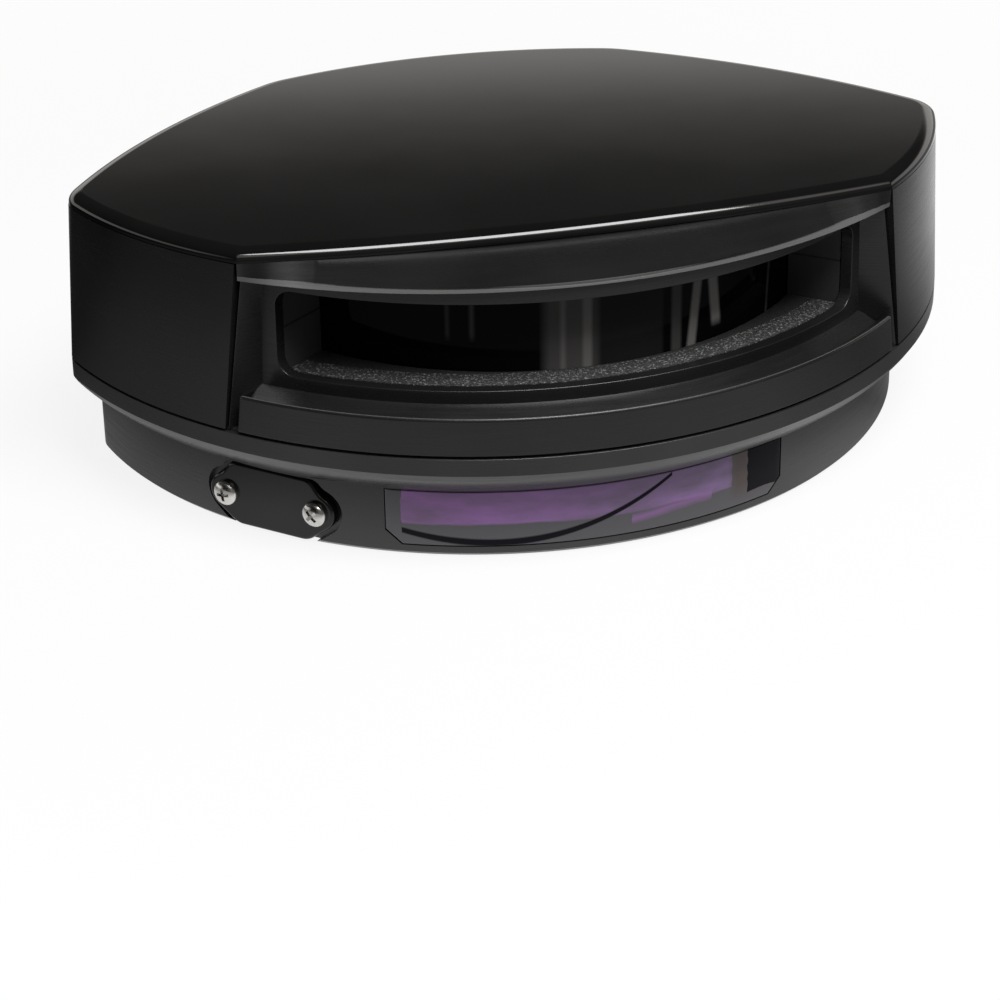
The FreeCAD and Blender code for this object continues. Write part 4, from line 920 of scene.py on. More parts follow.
@dataclass(frozen=True)
class CoatedPane(Finish):
    """Grey pane with a purple coating, a dark arc across it and a dark end."""

    body: Colour = (0.066, 0.063, 0.070, 1.0)
    field: Colour = (0.31, 0.12, 0.41, 1.0)
    field_end: Colour = (0.24, 0.14, 0.33, 1.0)
    brown: Colour = (0.055, 0.030, 0.026, 1.0)
    shadow: Colour = (0.004, 0.003, 0.006, 1.0)
    film_scale: float = 160.0
    film_stretch: Triple = (1.0, 1.0, 3.0)
    ripple: float = 0.8 * MM
    haze_low: float = 0.1
    haze_high: float = 0.6
    field_low: float = 4.6 * MM
    field_soft: float = 0.15 * MM
    field_left: float = -25.0 * MM
    field_right: float = 19.0 * MM
    streak_low: float = 3.2 * MM
    streak_left: float = 4.5 * MM
    streak_right: float = 16.0 * MM
    streak_rise: float = 0.09
    streak_half: float = 0.9 * MM
    streak_level: float = 0.55
    brown_left: float = 18.4 * MM
    brown_right: float = 19.8 * MM
    brown_low: float = 2.0 * MM
    brown_high: float = 4.5 * MM
    brown_level: float = 0.8
    arc_x: float = -13.5 * MM
    arc_z: float = 45.0 * MM
    arc_radius: float = 43.0 * MM
    arc_width: float = 0.6 * MM
    arc_near: float = 4.0 * MM
    arc_far: float = 24.0 * MM
    arc_thin: float = 0.45
    arc_solid: float = 0.6
    arc_right: float = 10.0 * MM
    dark_left: float = 21.4 * MM
    dark_right: float = 26.9 * MM
    dark_low: float = 2.9 * MM
    shine: float = 0.5
    shine_loss: float = 0.42
    rough_low: float = 0.05
    rough_high: float = 0.12

    def make(self) -> Material:
        """Makes the coated pane, one layer of its coating after the other.

        Returns:
            The material.
        """
        sheet = NodeSheet.material(self.name)
        axes = sheet.axes()
        film = sheet.noise(self.film_scale, detail=4.0, vector=sheet.stretched(self.film_stretch))
        wave = sheet.sums("MULTIPLY_ADD", film, self.ripple, -self.ripple / 2.0)
        x = sheet.sums("ADD", axes["X"], wave)
        z = sheet.sums("ADD", axes["Z"], wave)
        along = sheet.rise(axes["X"], self.field_left, self.field_right)
        tint = sheet.blend(along, self.field, self.field_end)
        tint = sheet.blend(sheet.vary(film, self.haze_low, self.haze_high), tint, self.body)
        upper = sheet.rise(z, self.field_low - self.field_soft, self.field_low + self.field_soft)
        area = sheet.sums("MULTIPLY", sheet.within(x, self.field_left, self.field_right), upper)
        colour = sheet.blend(area, self.body, tint)
        path = sheet.sums("MULTIPLY_ADD", axes["X"], self.streak_rise, self.streak_low)
        off = sheet.sums("ABSOLUTE", sheet.sums("SUBTRACT", z, path))
        streak = sheet.sums("MULTIPLY", sheet.within(x, self.streak_left, self.streak_right),
                            sheet.spread(off, 0.0, self.streak_half, self.streak_level, 0.0))
        colour = sheet.blend(streak, colour, self.field)
        warm = sheet.spread(axes["X"], self.brown_left, self.brown_right, 0.0, self.brown_level)
        warm = sheet.sums("MULTIPLY", warm, sheet.rise(z, self.brown_low, self.brown_high))
        colour = sheet.blend(warm, colour, self.brown)
        # A dark arc painted into the pane's colour, thin towards its ends.
        line = self.dark_arc(sheet, axes)
        colour = sheet.blend(line, colour, self.shadow)
        dark = sheet.sums("MULTIPLY", sheet.within(x, self.dark_left, self.dark_right),
                          sheet.sums("GREATER_THAN", z, self.dark_low))
        colour = sheet.blend(dark, colour, self.shadow)
        loss = sheet.sums("MULTIPLY", sheet.sums("MAXIMUM", dark, line), self.shine_loss)
        sheet.shade(Base_Color=colour, Roughness=sheet.vary(film, self.rough_low, self.rough_high),
                    Specular_IOR_Level=sheet.sums("SUBTRACT", self.shine, loss))
        return sheet.made

    def dark_arc(self, sheet: NodeSheet, axes: dict[str, Socket]) -> Socket:
        """Lays out the dark arc, which thins out towards its ends.

        Args:
            sheet: Node sheet of the finish.
            axes: Object coordinates.

        Returns:
            1 on the rim and 0 off it.
        """
        across = sheet.sums("SUBTRACT", axes["X"], self.arc_x)
        away = sheet.reach(across, sheet.sums("SUBTRACT", axes["Z"], self.arc_z))
        gap = sheet.sums("ABSOLUTE", sheet.sums("SUBTRACT", away, self.arc_radius))
        width = sheet.spread(sheet.sums("ABSOLUTE", across), self.arc_near, self.arc_far,
                             self.arc_width, self.arc_width * self.arc_thin)
        line = sheet.spread(sheet.sums("DIVIDE", gap, width), self.arc_solid, 1.0, 1.0, 0.0)
        return sheet.sums("MULTIPLY", line, sheet.within(axes["X"], self.field_left, self.arc_right))


@dataclass(frozen=True)
class ClearLens(Finish):
    """Polished lens with a coated bloom."""

    tint: Colour = (0.75, 0.82, 0.9, 1.0)
    bloom: Colour = (0.62, 0.66, 0.86, 1.0)
    bloom_scale: float = 300.0
    rough_low: float = 0.01
    rough_high: float = 0.04
    clear: float = 0.9
    index: float = 1.52

    def make(self) -> Material:
        """Makes the lens glass.

        Returns:
            The material.
        """
        sheet = NodeSheet.material(self.name)
        bloom = sheet.noise(self.bloom_scale)
        sheet.shade(Base_Color=sheet.blend(bloom, self.tint, self.bloom),
                    Roughness=sheet.vary(bloom, self.rough_low, self.rough_high),
                    Transmission_Weight=self.clear, IOR=self.index)
        return sheet.made


@dataclass(frozen=True)
class BareMetal(Finish):
    """Machined, cast or plated metal."""

    colour: Colour = (0.62, 0.61, 0.59, 1.0)
    stain: Colour = (0.42, 0.41, 0.39, 1.0)
    rough: float = 0.28
    grain: Sequence[float] = (900.0, 900.0, 900.0)
    depth: float = 0.003
    grain_low: float = 0.25
    grain_high: float = 0.75
    rough_low: float = 0.7
    rough_high: float = 1.35
    stain_scale: float = 260.0
    stain_low: float = 0.4
    stain_high: float = 0.7

    def make(self) -> Material:
        """Makes the metal.

        Returns:
            The material.
        """
        sheet = NodeSheet.material(self.name)
        lines = sheet.noise(1.0, detail=3.0, vector=sheet.stretched(self.grain))
        stain = sheet.rise(sheet.noise(self.stain_scale, detail=4.0), self.stain_low, self.stain_high)
        rough = sheet.spread(lines, self.grain_low, self.grain_high, self.rough * self.rough_low,
                             self.rough * self.rough_high)
        sheet.shade(Base_Color=sheet.blend(stain, self.colour, self.stain), Metallic=1.0,
                    Roughness=rough, Normal=sheet.bump(lines, self.depth))
        return sheet.made


@dataclass(frozen=True)
class CircuitBoard(Finish):
    """Green board with darker copper areas under the lacquer."""

    lacquer: Colour = (0.012, 0.075, 0.035, 1.0)
    copper: Colour = (0.035, 0.13, 0.05, 1.0)
    track_scale: Triple = (220.0, 220.0, 220.0)
    track_turn: float = 0.6
    track_gap: float = 0.06
    track_depth: float = 0.03
    rough_scale: float = 900.0
    rough_low: float = 0.3
    rough_high: float = 0.45

    def make(self) -> Material:
        """Makes the board.

        Returns:
            The material.
        """
        sheet = NodeSheet.material(self.name)
        tracks = sheet.nodes.new("ShaderNodeTexBrick")
        sheet.put(tracks.inputs["Vector"], sheet.stretched(self.track_scale, self.track_turn))
        sheet.put(tracks.inputs["Mortar Size"], self.track_gap)
        lines = tracks.outputs["Fac"]
        rough = sheet.vary(sheet.noise(self.rough_scale), self.rough_low, self.rough_high)
        sheet.shade(Base_Color=sheet.blend(lines, self.lacquer, self.copper), Roughness=rough,
                    Normal=sheet.bump(lines, self.track_depth))
        return sheet.made


@dataclass(frozen=True)
class Tinted(Finish):
    """Small moulded part in one colour with a little mottling."""

    colour: Colour = grey(0.02)
    mottle: Colour = grey(0.03)
    rough: float = 0.4
    metallic: float = 0.0
    cloud_scale: float = 500.0
    rough_low: float = 0.8
    rough_high: float = 1.2
    grain_scale: float = 2400.0
    grain: float = 0.004

    def make(self) -> Material:
        """Makes the mottled colour.

        Returns:
            The material.
        """
        sheet = NodeSheet.material(self.name)
        cloud = sheet.noise(self.cloud_scale, detail=3.0)
        sheet.shade(Base_Color=sheet.blend(cloud, self.colour, self.mottle), Metallic=self.metallic,
                    Roughness=sheet.vary(cloud, self.rough * self.rough_low, self.rough * self.rough_high),
                    Normal=sheet.bump(sheet.noise(self.grain_scale), self.grain))
        return sheet.made


TOP_PLASTIC = MouldedPlastic("top_plastic", grey(0.003), grey(0.0045), 0.06, 0.01, 0.0003, 0.0002)
WALL_PLASTIC = MouldedPlastic("wall_plastic", grey(0.006), grey(0.010), 0.26, 0.05, 0.0016, 0.0012)
BEZEL_PLASTIC = MouldedPlastic("bezel_plastic", grey(0.008), grey(0.012), 0.28, 0.06, 0.002, 0.002)
BASE_PLASTIC = MouldedPlastic("base_plastic", grey(0.018), grey(0.028), 0.30, 0.08, 0.003, 0.002)
COVER_PLASTIC = MouldedPlastic("cover_plastic", grey(0.004), grey(0.007), 0.14, 0.04, 0.0008, 0.0008,
                               specular=0.33)
SHROUD_PLASTIC = MouldedPlastic("shroud_plastic", grey(0.03), grey(0.05), 0.45, 0.08, 0.002, 0.004,
                                joint=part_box("lower_baffle")[1][2])
SCREW_STEEL = BareMetal("screw_steel", (0.72, 0.71, 0.69, 1.0), (0.5, 0.49, 0.47, 1.0), 0.2)
SEAL_STRIP = RoughSeal("speckled_seal")
SEAL_RUBBER = Rubber("seal_rubber")
SCAN_GLASS = DarkGlass("scan_glass")
PANE_GLASS = CoatedPane("coated_pane")

SLOT_FINISHES: dict[str, Finish] = {
    "case_plastic": WALL_PLASTIC,
    "cover_plastic": COVER_PLASTIC,
    "dark_plastic": SHROUD_PLASTIC,
    "seal_rubber": SEAL_RUBBER,
    "scan_glass": SCAN_GLASS,
    "tinted_glass": PANE_GLASS,
    "lens_glass": ClearLens("lens_glass"),
    "mirror_face": BareMetal("mirror_face", (0.9, 0.9, 0.9, 1.0), (0.84, 0.85, 0.87, 1.0), 0.03),
    "screw_steel": SCREW_STEEL,
    "insert_brass": BareMetal("insert_brass", (0.72, 0.5, 0.2, 1.0), (0.5, 0.33, 0.13, 1.0), 0.25),
    "cast_metal": BareMetal("cast_metal", (0.5, 0.5, 0.5, 1.0), (0.4, 0.4, 0.4, 1.0), 0.42, depth=0.02),
    "winding_copper": BareMetal("winding_copper", (0.72, 0.33, 0.17, 1.0), (0.5, 0.2, 0.1, 1.0), 0.3,
                                (300.0, 300.0, 5200.0), 0.05),
    "magnet_iron": Tinted("magnet_iron", grey(0.05), grey(0.08), 0.5, 0.6),
    "board_green": CircuitBoard("board_green"),
    "chip_plastic": Tinted("chip_plastic", grey(0.012), grey(0.02), 0.55),
    "led_lens": Tinted("led_lens", (0.7, 0.68, 0.6, 1.0), (0.8, 0.78, 0.7, 1.0), 0.2),
}


# The shells.

@dataclass
class CasePlan:
    """Plan outline of the case: front arc, two side arcs and the back arc."""

    seam_radius: float = 65.0
    side_x: float = 42.4
    side_y: float = 71.9
    side_radius: float = 118.0
    back_y: float = 45.4
    back_radius: float = 74.0
    end_round: float = 4.0
    top_end_round: float = 6.5
    kink_round: float = 12.0
    draft: float = math.tan(math.radians(2.6))
    seam_top: float = 17.25
    corner_height: float = 41.9
    corner_reach: float = 47.4
    top_fall: float = 0.034
    cover_thickness: float = 1.65
    parting_gap: float = 0.15
    front_steps: int = 96
    side_steps: int = 36
    back_steps: int = 40
    end_place: Pair = (62.0, -10.0)
    kink_place: Pair = (27.0, 23.0)

    @property
    def under_cover(self) -> float:
        """Depth of the walls' upper edge under the top."""
        return self.cover_thickness + self.parting_gap

    def top_at(self, y: float) -> float:
        """Returns the height of the sloping top."""
        return self.corner_height - self.top_fall * (y + self.corner_reach)

    def slope(self, drop: float) -> tuple[Vector, Vector]:
        """Returns a point and the upward normal of a plane parallel to the top."""
        normal = Vector((0.0, self.top_fall, 1.0)).normalized()
        return Vector((0.0, 0.0, self.top_at(0.0) - drop)), normal

    def lean_in(self, z: float) -> float:
        """Returns how far the drafted walls stand in at a height."""
        return (z - self.seam_top) * self.draft

    def arcs(self, inset: float, front: float | None = None) -> list[Arc]:
        """Returns the four sides, moved inwards, with a front radius of their own if given.

        Args:
            inset: How far all sides stand in.
            front: Radius of the front arc where it isn't the seam's.

        Returns:
            Front, right, back and left side.
        """
        reach = self.seam_radius if front is None else front
        side = self.side_radius - inset
        return [
            Arc(0.0, 0.0, reach - inset, self.front_steps),
            Arc(-self.side_x, -self.side_y, side, self.side_steps),
            Arc(0.0, -self.back_y, self.back_radius - inset, self.back_steps),
            Arc(self.side_x, -self.side_y, side, self.side_steps),
        ]

    def turns(self, end_round: float, kink_round: float) -> list[Turn]:
        """Returns the four rounded corners that follow the sides.

        Args:
            end_round: Rounding of the two ends.
            kink_round: Rounding of the two back corners.

        Returns:
            The corners in the sides' order.
        """
        end_x, end_y = self.end_place
        kink_x, kink_y = self.kink_place
        return [Turn(end_round, (end_x, end_y)), Turn(kink_round, (kink_x, kink_y)),
                Turn(kink_round, (-kink_x, kink_y)), Turn(end_round, (-end_x, end_y))]

    def ring(self, shape: BMesh, z: float, inset: float = 0.0, front: float | None = None,
             end_round: float | None = None, kink_round: float | None = None) -> list[BMEdge]:
        """Draws the outline at a height.

        Args:
            shape: Mesh under construction.
            z: Height.
            inset: How far all sides stand in.
            front: Radius of the front arc where it isn't the seam's.
            end_round: Rounding of the two ends.
            kink_round: Rounding of the two back corners.

        Returns:
            The outline's edges.
        """
        ends = self.end_round if end_round is None else end_round
        kinks = self.kink_round if kink_round is None else kink_round
        return plan_loop(shape, z, self.arcs(inset, front), self.turns(ends, kinks))


@dataclass
class Opening:
    """The front opening between the two end caps, bounded by two leaning, splayed planes."""

    seam_x: float = 46.0
    top_x: float = 42.8
    low: float = 16.85
    high: float = 41.9
    reach: float = 46.0
    angle: float = math.radians(43.5)
    facet_angle: float = math.radians(68.0)
    facet_inset: float = 0.5

    def plane(self, side: Side, inset: float = 0.0) -> tuple[Vector, Vector]:
        """Returns a point of an end cap's edge plane, moved inwards, and the normal towards the cap."""
        return self.splayed(side, inset, self.angle)

    def facet(self, side: Side) -> tuple[Vector, Vector]:
        """Returns a point of a jamb's front facet and the normal into the jamb."""
        return self.splayed(side, self.facet_inset, self.facet_angle)

    def splayed(self, side: Side, inset: float, splay: float) -> tuple[Vector, Vector]:
        """Returns a plane through an end cap's edge line.

        Args:
            side: Left or right cap.
            inset: How far the plane stands inside the cap's edge.
            splay: Angle between the plane and the sensor's middle plane.

        Returns:
            A point of the plane and its normal, away from the slot.
        """
        lean = (self.seam_x - self.top_x) / (self.high - self.low)
        point = Vector((side.value * (self.seam_x - inset / math.cos(self.angle)), -self.reach, self.low))
        return point, Vector((side.value, math.tan(splay), lean)).normalized()


@dataclass
class UpperShell:
    """Upper housing with both end caps, and the plate that closes its top."""

    plan: CasePlan
    opening: Opening
    wall: float = 2.4
    block_top: float = 45.9
    edge_round: float = 1.4
    edge_reach: float = 2.0
    bow_reach: float = 50.8
    bow_radius: float = 250.0
    bow_round: float = 0.5
    cover_inset: float = 1.0
    lip_gap: float = 2.6
    lip_width: float = 1.2
    lip_depth: float = 1.2
    lip_front: float = -41.4
    boss_radius: float = 3.6
    boss_top: float = 30.0
    boss_bore: float = 1.5
    boss_root: float = 0.1
    inner_end_round: float = 2.0
    inner_kink_round: float = 9.0
    lip_kink_round: float = 8.0
    wall_edge: float = 0.2
    edge_start: float = 0.01
    edge_steps: int = 10
    bow_steps: int = 64
    cap_steps: int = 16
    bow_place: Pair = (42.5, -47.0)
    bow_share: float = 0.3
    bow_least: float = 0.1
    corner_steps: int = 4

    def housing(self) -> Object:
        """Builds the drafted walls, open at the front, below and above.

        Returns:
            The piece.
        """
        shape = bmesh.new()
        low = self.plan.seam_top
        lean = self.plan.lean_in(self.block_top)
        outer = [self.plan.ring(shape, low),
                 self.plan.ring(shape, self.block_top, lean, end_round=self.plan.top_end_round)]
        inner = [self.plan.ring(shape, z, inset + self.wall, end_round=self.inner_end_round,
                                kink_round=self.inner_kink_round)
                 for z, inset in ((self.block_top, lean), (low, 0.0))]
        loft(shape, outer + inner + outer[:1])
        outward(shape)
        bmesh.ops.bridge_loops(shape, edges=cut(shape, *self.plan.slope(self.plan.under_cover)))
        for side in Side:
            cut(shape, *self.opening.plane(side), clear=False)
        front = [face for face in shape.faces if self.in_opening(face)]
        bmesh.ops.delete(shape, geom=front, context="FACES")
        close(shape)
        outward(shape)
        soften(shape, sharp_edges(shape, degrees=50.0), self.wall_edge, 2)
        bosses = rods(CASE_SCREWS, low + self.boss_root, self.boss_top, self.boss_radius)
        shape = combine(shape, bosses, Join.ADD)
        bores = rods(CASE_SCREWS, low - OVERSHOOT, self.boss_top - self.wall, self.boss_bore)
        shape = combine(shape, bores, Join.CUT)
        return publish("upper_housing_shell", shape, WALL_PLASTIC, "upper_housing")

    def in_opening(self, face: BMFace) -> bool:
        """Tells whether a face lies between the two jamb planes.

        Args:
            face: A face of the walls.

        Returns:
            True for a face of the opening.
        """
        middle = face.calc_center_median()
        if middle.y > 0.0:
            return False
        planes = [self.opening.plane(side) for side in Side]
        return all((middle - point).dot(normal) < 0.0 for point, normal in planes)

    def cover(self) -> Object:
        """Builds the top plate: bowed front, rounded edge, and a locating lip underneath.

        Returns:
            The piece.
        """
        shape = bmesh.new()
        thick = self.plan.cover_thickness
        start = -self.edge_round
        loops = [self.cover_loop(shape, -thick, 0.0), self.cover_loop(shape, start, self.edge_start)]
        for step in range(1, self.edge_steps + 1):
            turn = step / self.edge_steps * math.pi / 2.0
            inset = self.edge_reach * (1.0 - math.cos(turn))
            loops.append(self.cover_loop(shape, start + self.edge_round * math.sin(turn), inset))
        loft(shape, loops)
        cap(shape, loops[-1])
        cap(shape, loops[0])
        outward(shape)
        shape = combine(shape, self.lip(), Join.ADD)
        shear = Matrix.Identity(4)
        shear[2][1] = -self.plan.top_fall
        move(shape, Matrix.Translation((0.0, 0.0, self.plan.top_at(0.0))) @ shear)
        return publish("top_cover_plate", shape, TOP_PLASTIC, "top_cover")

    def cover_loop(self, shape: BMesh, z: float, inset: float) -> list[BMEdge]:
        """Draws the cover's outline, moved inwards by a part of its rounded edge.

        Args:
            shape: Mesh under construction.
            z: Height under the top.
            inset: How far the outline stands in.

        Returns:
            The outline's edges.
        """
        front, right, back, left = self.plan.arcs(self.cover_inset + inset)
        middle = Arc(0.0, self.bow_radius - self.bow_reach, self.bow_radius - inset, self.bow_steps)
        end = Arc(front.x, front.y, front.radius, self.cap_steps)
        turns = self.plan.turns(self.plan.top_end_round - inset, self.plan.kink_round)
        corner = max(self.bow_round - inset * self.bow_share, self.bow_least)
        x, y = self.bow_place
        return plan_loop(shape, z, [middle, end, right, back, left, end],
                         [Turn(corner, (x, y), self.corner_steps), *turns,
                          Turn(corner, (-x, y), self.corner_steps)])

    def lip(self) -> BMesh:
        """Makes the locating lip under the cover, behind the bezel.

        Returns:
            The closed lip.
        """
        shape = bmesh.new()
        high = -self.plan.cover_thickness / 2.0
        low = -self.plan.cover_thickness - self.lip_depth
        outer = self.cover_inset + self.lip_gap
        inner = outer + self.lip_width
        loops = [self.plan.ring(shape, z, inset, end_round=self.inner_end_round,
                                kink_round=self.lip_kink_round)
                 for z, inset in ((low, outer), (high, outer), (high, inner), (low, inner))]
        loft(shape, loops + loops[:1])
        slice_away(shape, Vector((0.0, self.lip_front, 0.0)), Vector((0.0, -1.0, 0.0)))
        outward(shape)
        return shape


@dataclass
class FrontBezel:
    """Front moulding: lip, ledge, frame with the scan slot, jambs and the crescent brow."""

    plan: CasePlan
    opening: Opening
    sweep: float = math.radians(104.0)
    steps: int = 120
    gap: float = 0.35
    lip_end: float = 1.9
    lap: float = 2.6
    flange_root: float = 1.05
    flange_outer: float = 62.4
    flange_inner: float = 61.2
    ledge_top: float = 22.6
    ledge_thickness: float = 1.6
    lip_thickness: float = 2.2
    lip_round: float = 0.7
    # How far the painted highlight line on the lip reaches from its edge.
    lip_highlight_reach: float = 0.33
    frame_outer: float = 60.1
    frame_inner: float = 58.6
    frame_top: float = 37.8
    slot_half: float = 38.72
    slot_reach: float = 45.9
    slot_flare: float = 1.19
    slot_low: float = 24.0
    slot_high: float = 35.8
    slot_corner: float = 2.4
    slot_round: float = 0.35
    brow_low_reach: float = 60.6
    brow_low_radius: float = 74.5
    brow_top_reach: float = 50.8
    brow_top_radius: float = 250.0
    brow_half: float = 44.0
    brow_back: float = -44.0
    brow_round: float = 0.6
    # How far the painted highlight line on the brow reaches from its lower edge.
    brow_highlight_reach: float = 0.74
    brow_steps: int = 96
    brow_gap: float = 0.05
    brow_margin: float = 0.5
    least_run: float = 1.0
    jamb_round: float = 0.2
    jamb_least: float = 10.0
    foot_round: float = 0.2
    corner_steps: int = 4
    frame_lap: float = 0.4
    frame_rise: float = 0.4
    frame_root: float = 0.8
    slot_ends: Pair = (-80.0, -20.0)
    slot_slack: float = 0.1
    post_x: Pair = (30.0, 62.0)
    post_y: Pair = (-64.0, -30.0)
    post_top: float = 44.0
    post_gap: float = 0.02
    flange_drop: float = 1.4

    def build(self) -> Object:
        """Joins the ring, the slotted frame, the brow and the jambs into one moulding.

        Returns:
            The piece.
        """
        frame_ends = self.lip_end - self.frame_lap
        shape = combine(self.lip(), self.trim(self.frame_wall(), frame_ends), Join.ADD)
        shape = combine(shape, self.brow(), Join.ADD)
        for side in Side:
            shape = combine(shape, self.jamb(side), Join.ADD)
            shape = combine(shape, self.flange(side), Join.ADD)
        heal(shape)
        # The bezel's finish gets painted highlight lines along the brow's lower edge and the lip's front
        # edge.
        finish = replace(BEZEL_PLASTIC, edges=self.painted_highlight_edges())
        return publish("front_bezel_moulding", shape, finish, "front_bezel")

    def painted_highlight_edges(self) -> tuple[PaintedHighlightEdge, ...]:
        """Lists the painted highlight lines: the brow's lower bow and the front of the lip.

        Returns:
            Both edges.
        """
        brow = PaintedHighlightEdge(self.brow_low_radius - self.brow_low_reach, self.brow_low_radius - self.brow_highlight_reach,
                        self.frame_top, self.frame_top + self.brow_round)
        lip_radius = self.plan.seam_radius - self.plan.lean_in(self.ledge_top) - self.lip_highlight_reach
        lip = PaintedHighlightEdge(0.0, lip_radius, self.ledge_top - self.lip_highlight_reach, self.ledge_top + self.lip_round)
        return brow, lip

    def round_corner(self, shape: BMesh, radius: float, z: float, width: float) -> None:
        """Rounds one corner of a section.

        Args:
            shape: A section of one face.
            radius: Radius of the corner.
            z: Height of the corner.
            width: Width of the round on each side.
        """
        place = Vector((0.0, -radius, z))
        vert = min(shape.verts, key=lambda item: (item.co - place).length)
        soften(shape, [vert], width, self.corner_steps, corners=True)

    def ring(self) -> BMesh:
        """Makes the lip and the ledge.

        Returns:
            The closed ring.
        """
        low = self.plan.seam_top
        front_low = self.plan.seam_radius
        front_top = front_low - self.plan.lean_in(self.ledge_top)
        lip_inner = front_top - self.lip_thickness
        under = self.ledge_top - self.ledge_thickness
        root = (self.frame_inner + self.frame_outer) / 2.0
        shape = section([(front_low, low), (front_top, self.ledge_top), (root, self.ledge_top),
                         (root, under), (lip_inner, under), (lip_inner, low)])
        self.round_corner(shape, front_top, self.ledge_top, self.lip_round)
        self.round_corner(shape, front_low, low, self.foot_round)
        return spun(shape, self.sweep, self.steps)

    def lip(self) -> BMesh:
        """Cuts the ring off short of the end caps and rounds its ends.

        Returns:
            The closed lip.
        """
        shape = self.trim(self.ring(), self.lip_end)
        planes = [self.opening.plane(side, self.lip_end) for side in Side]
        ends = [edge for edge in sharp_edges(shape, degrees=50.0)
                if any(all(abs((vert.co - point).dot(normal)) < ON_FACE for vert in edge.verts)
                       for point, normal in planes)]
        soften(shape, ends, self.jamb_round, 2)
        return shape

    def frame_wall(self) -> BMesh:
        """Makes the curved frame and cuts the slot through it, with a rounded front edge.

        Returns:
            The closed frame.
        """
        low = self.ledge_top - self.ledge_thickness * self.frame_root
        high = self.frame_top + self.frame_rise
        shape = section([(self.frame_outer, low), (self.frame_outer, high), (self.frame_inner, high),
                         (self.frame_inner, low)])
        shape = combine(spun(shape, self.sweep, self.steps), self.slot_block(), Join.CUT)
        outer = [edge for edge in sharp_edges(shape, degrees=60.0) if self.on_slot_front(edge)]
        soften(shape, outer, self.slot_round, 3)
        return shape

    def slot_block(self) -> BMesh:
        """Makes the block that cuts the slot: a rounded rectangle whose sides flare as the bay's do.

        Returns:
            The closed block.
        """
        front, back = self.slot_ends
        shape = block((-1.0, front, self.slot_low), (1.0, back, self.slot_high))
        for vert in shape.verts:
            vert.co.x *= self.slot_half - (vert.co.y + self.slot_reach) * self.slot_flare
        lines = [edge for edge in shape.edges
                 if abs((edge.verts[0].co - edge.verts[1].co).y) > self.least_run]
        soften(shape, lines, self.slot_corner, 8)
        return shape

    def on_slot_front(self, edge: BMEdge) -> bool:
        """Tells whether an edge lies on the slot's outer border.

        Args:
            edge: A sharp edge of the frame.

        Returns:
            True for an edge of that border.
        """
        middle = (edge.verts[0].co + edge.verts[1].co) / 2.0
        slack = self.slot_slack
        if abs(middle.xy.length - self.frame_outer) > slack / 2.0 or abs(middle.x) > self.slot_half + slack:
            return False
        return self.slot_low - slack < middle.z < self.slot_high + slack

    def brow(self) -> BMesh:
        """Makes the crescent brow between its lower and upper bow.

        Returns:
            The closed brow.
        """
        shape = bmesh.new()
        top = self.plan.top_at(-self.brow_top_reach) - self.plan.under_cover
        bows = ((self.brow_low_reach, self.brow_low_radius, self.frame_top),
                (self.brow_top_reach, self.brow_top_radius, top))
        lines = [bow(shape, radius - reach, radius, self.brow_half, z, self.brow_steps)
                 for reach, radius, z in bows]
        for line in lines:
            grown = bmesh.ops.extrude_edge_only(shape, edges=line)
            for vert in (item for item in grown["geom"] if isinstance(item, BMVert)):
                vert.co.y = self.brow_back
        bmesh.ops.bridge_loops(shape, edges=lines[0] + lines[1])
        rear = [edge for edge in shape.edges if edge.is_boundary and
                all(abs(vert.co.y - self.brow_back) < ON_CUT for vert in edge.verts)]
        bmesh.ops.bridge_loops(shape, edges=rear)
        close(shape)
        shape = self.trim(shape, self.gap + self.brow_gap)
        shown = [edge for edge in sharp_edges(shape) if self.shows(edge)]
        soften(shape, shown, self.brow_round, self.corner_steps)
        return shape

    def shows(self, edge: BMEdge) -> bool:
        """Tells whether an edge is the brow's lower bow or one of its upright ends.

        Args:
            edge: A sharp edge of the brow.

        Returns:
            True for an edge that shows.
        """
        if max(vert.co.y for vert in edge.verts) > self.brow_back - self.brow_margin:
            return False
        heights = [vert.co.z for vert in edge.verts]
        return max(heights) - self.frame_top < ON_CUT or max(heights) - min(heights) > self.least_run

    def trim(self, shape: BMesh, inset: float) -> BMesh:
        """Cuts a shape off at both end caps, at a distance from their edges.

        Args:
            shape: Mesh under construction.
            inset: The distance.

        Returns:
            The same shape.
        """
        for side in Side:
            slice_away(shape, *self.opening.plane(side, inset))
        outward(shape)
        return shape

    def post(self, side: Side, outer: float, inner: float, far: float) -> BMesh:
        """Makes an upright post beside an end cap's edge.

        Args:
            side: Left or right cap.
            outer: Reach of its front from the case's axis.
            inner: Reach of its back.
            far: Distance of its far side from the cap's edge, inwards.

        Returns:
            The closed post, up to the cover.
        """
        left, right = sorted(side.value * x for x in self.post_x)
        front, back = self.post_y
        shape = block((left, front, self.plan.seam_top + self.post_gap), (right, back, self.post_top))
        slice_away(shape, *self.opening.plane(side, far))
        slice_away(shape, *self.plan.slope(self.plan.under_cover))
        out = Vector((self.opening.seam_x * side.value, -self.opening.reach, 0.0)).normalized()
        foot = out * outer + UP * self.plan.seam_top
        slice_away(shape, foot, (out + UP * self.plan.draft).normalized())
        slice_away(shape, out * inner, -out)
        return shape

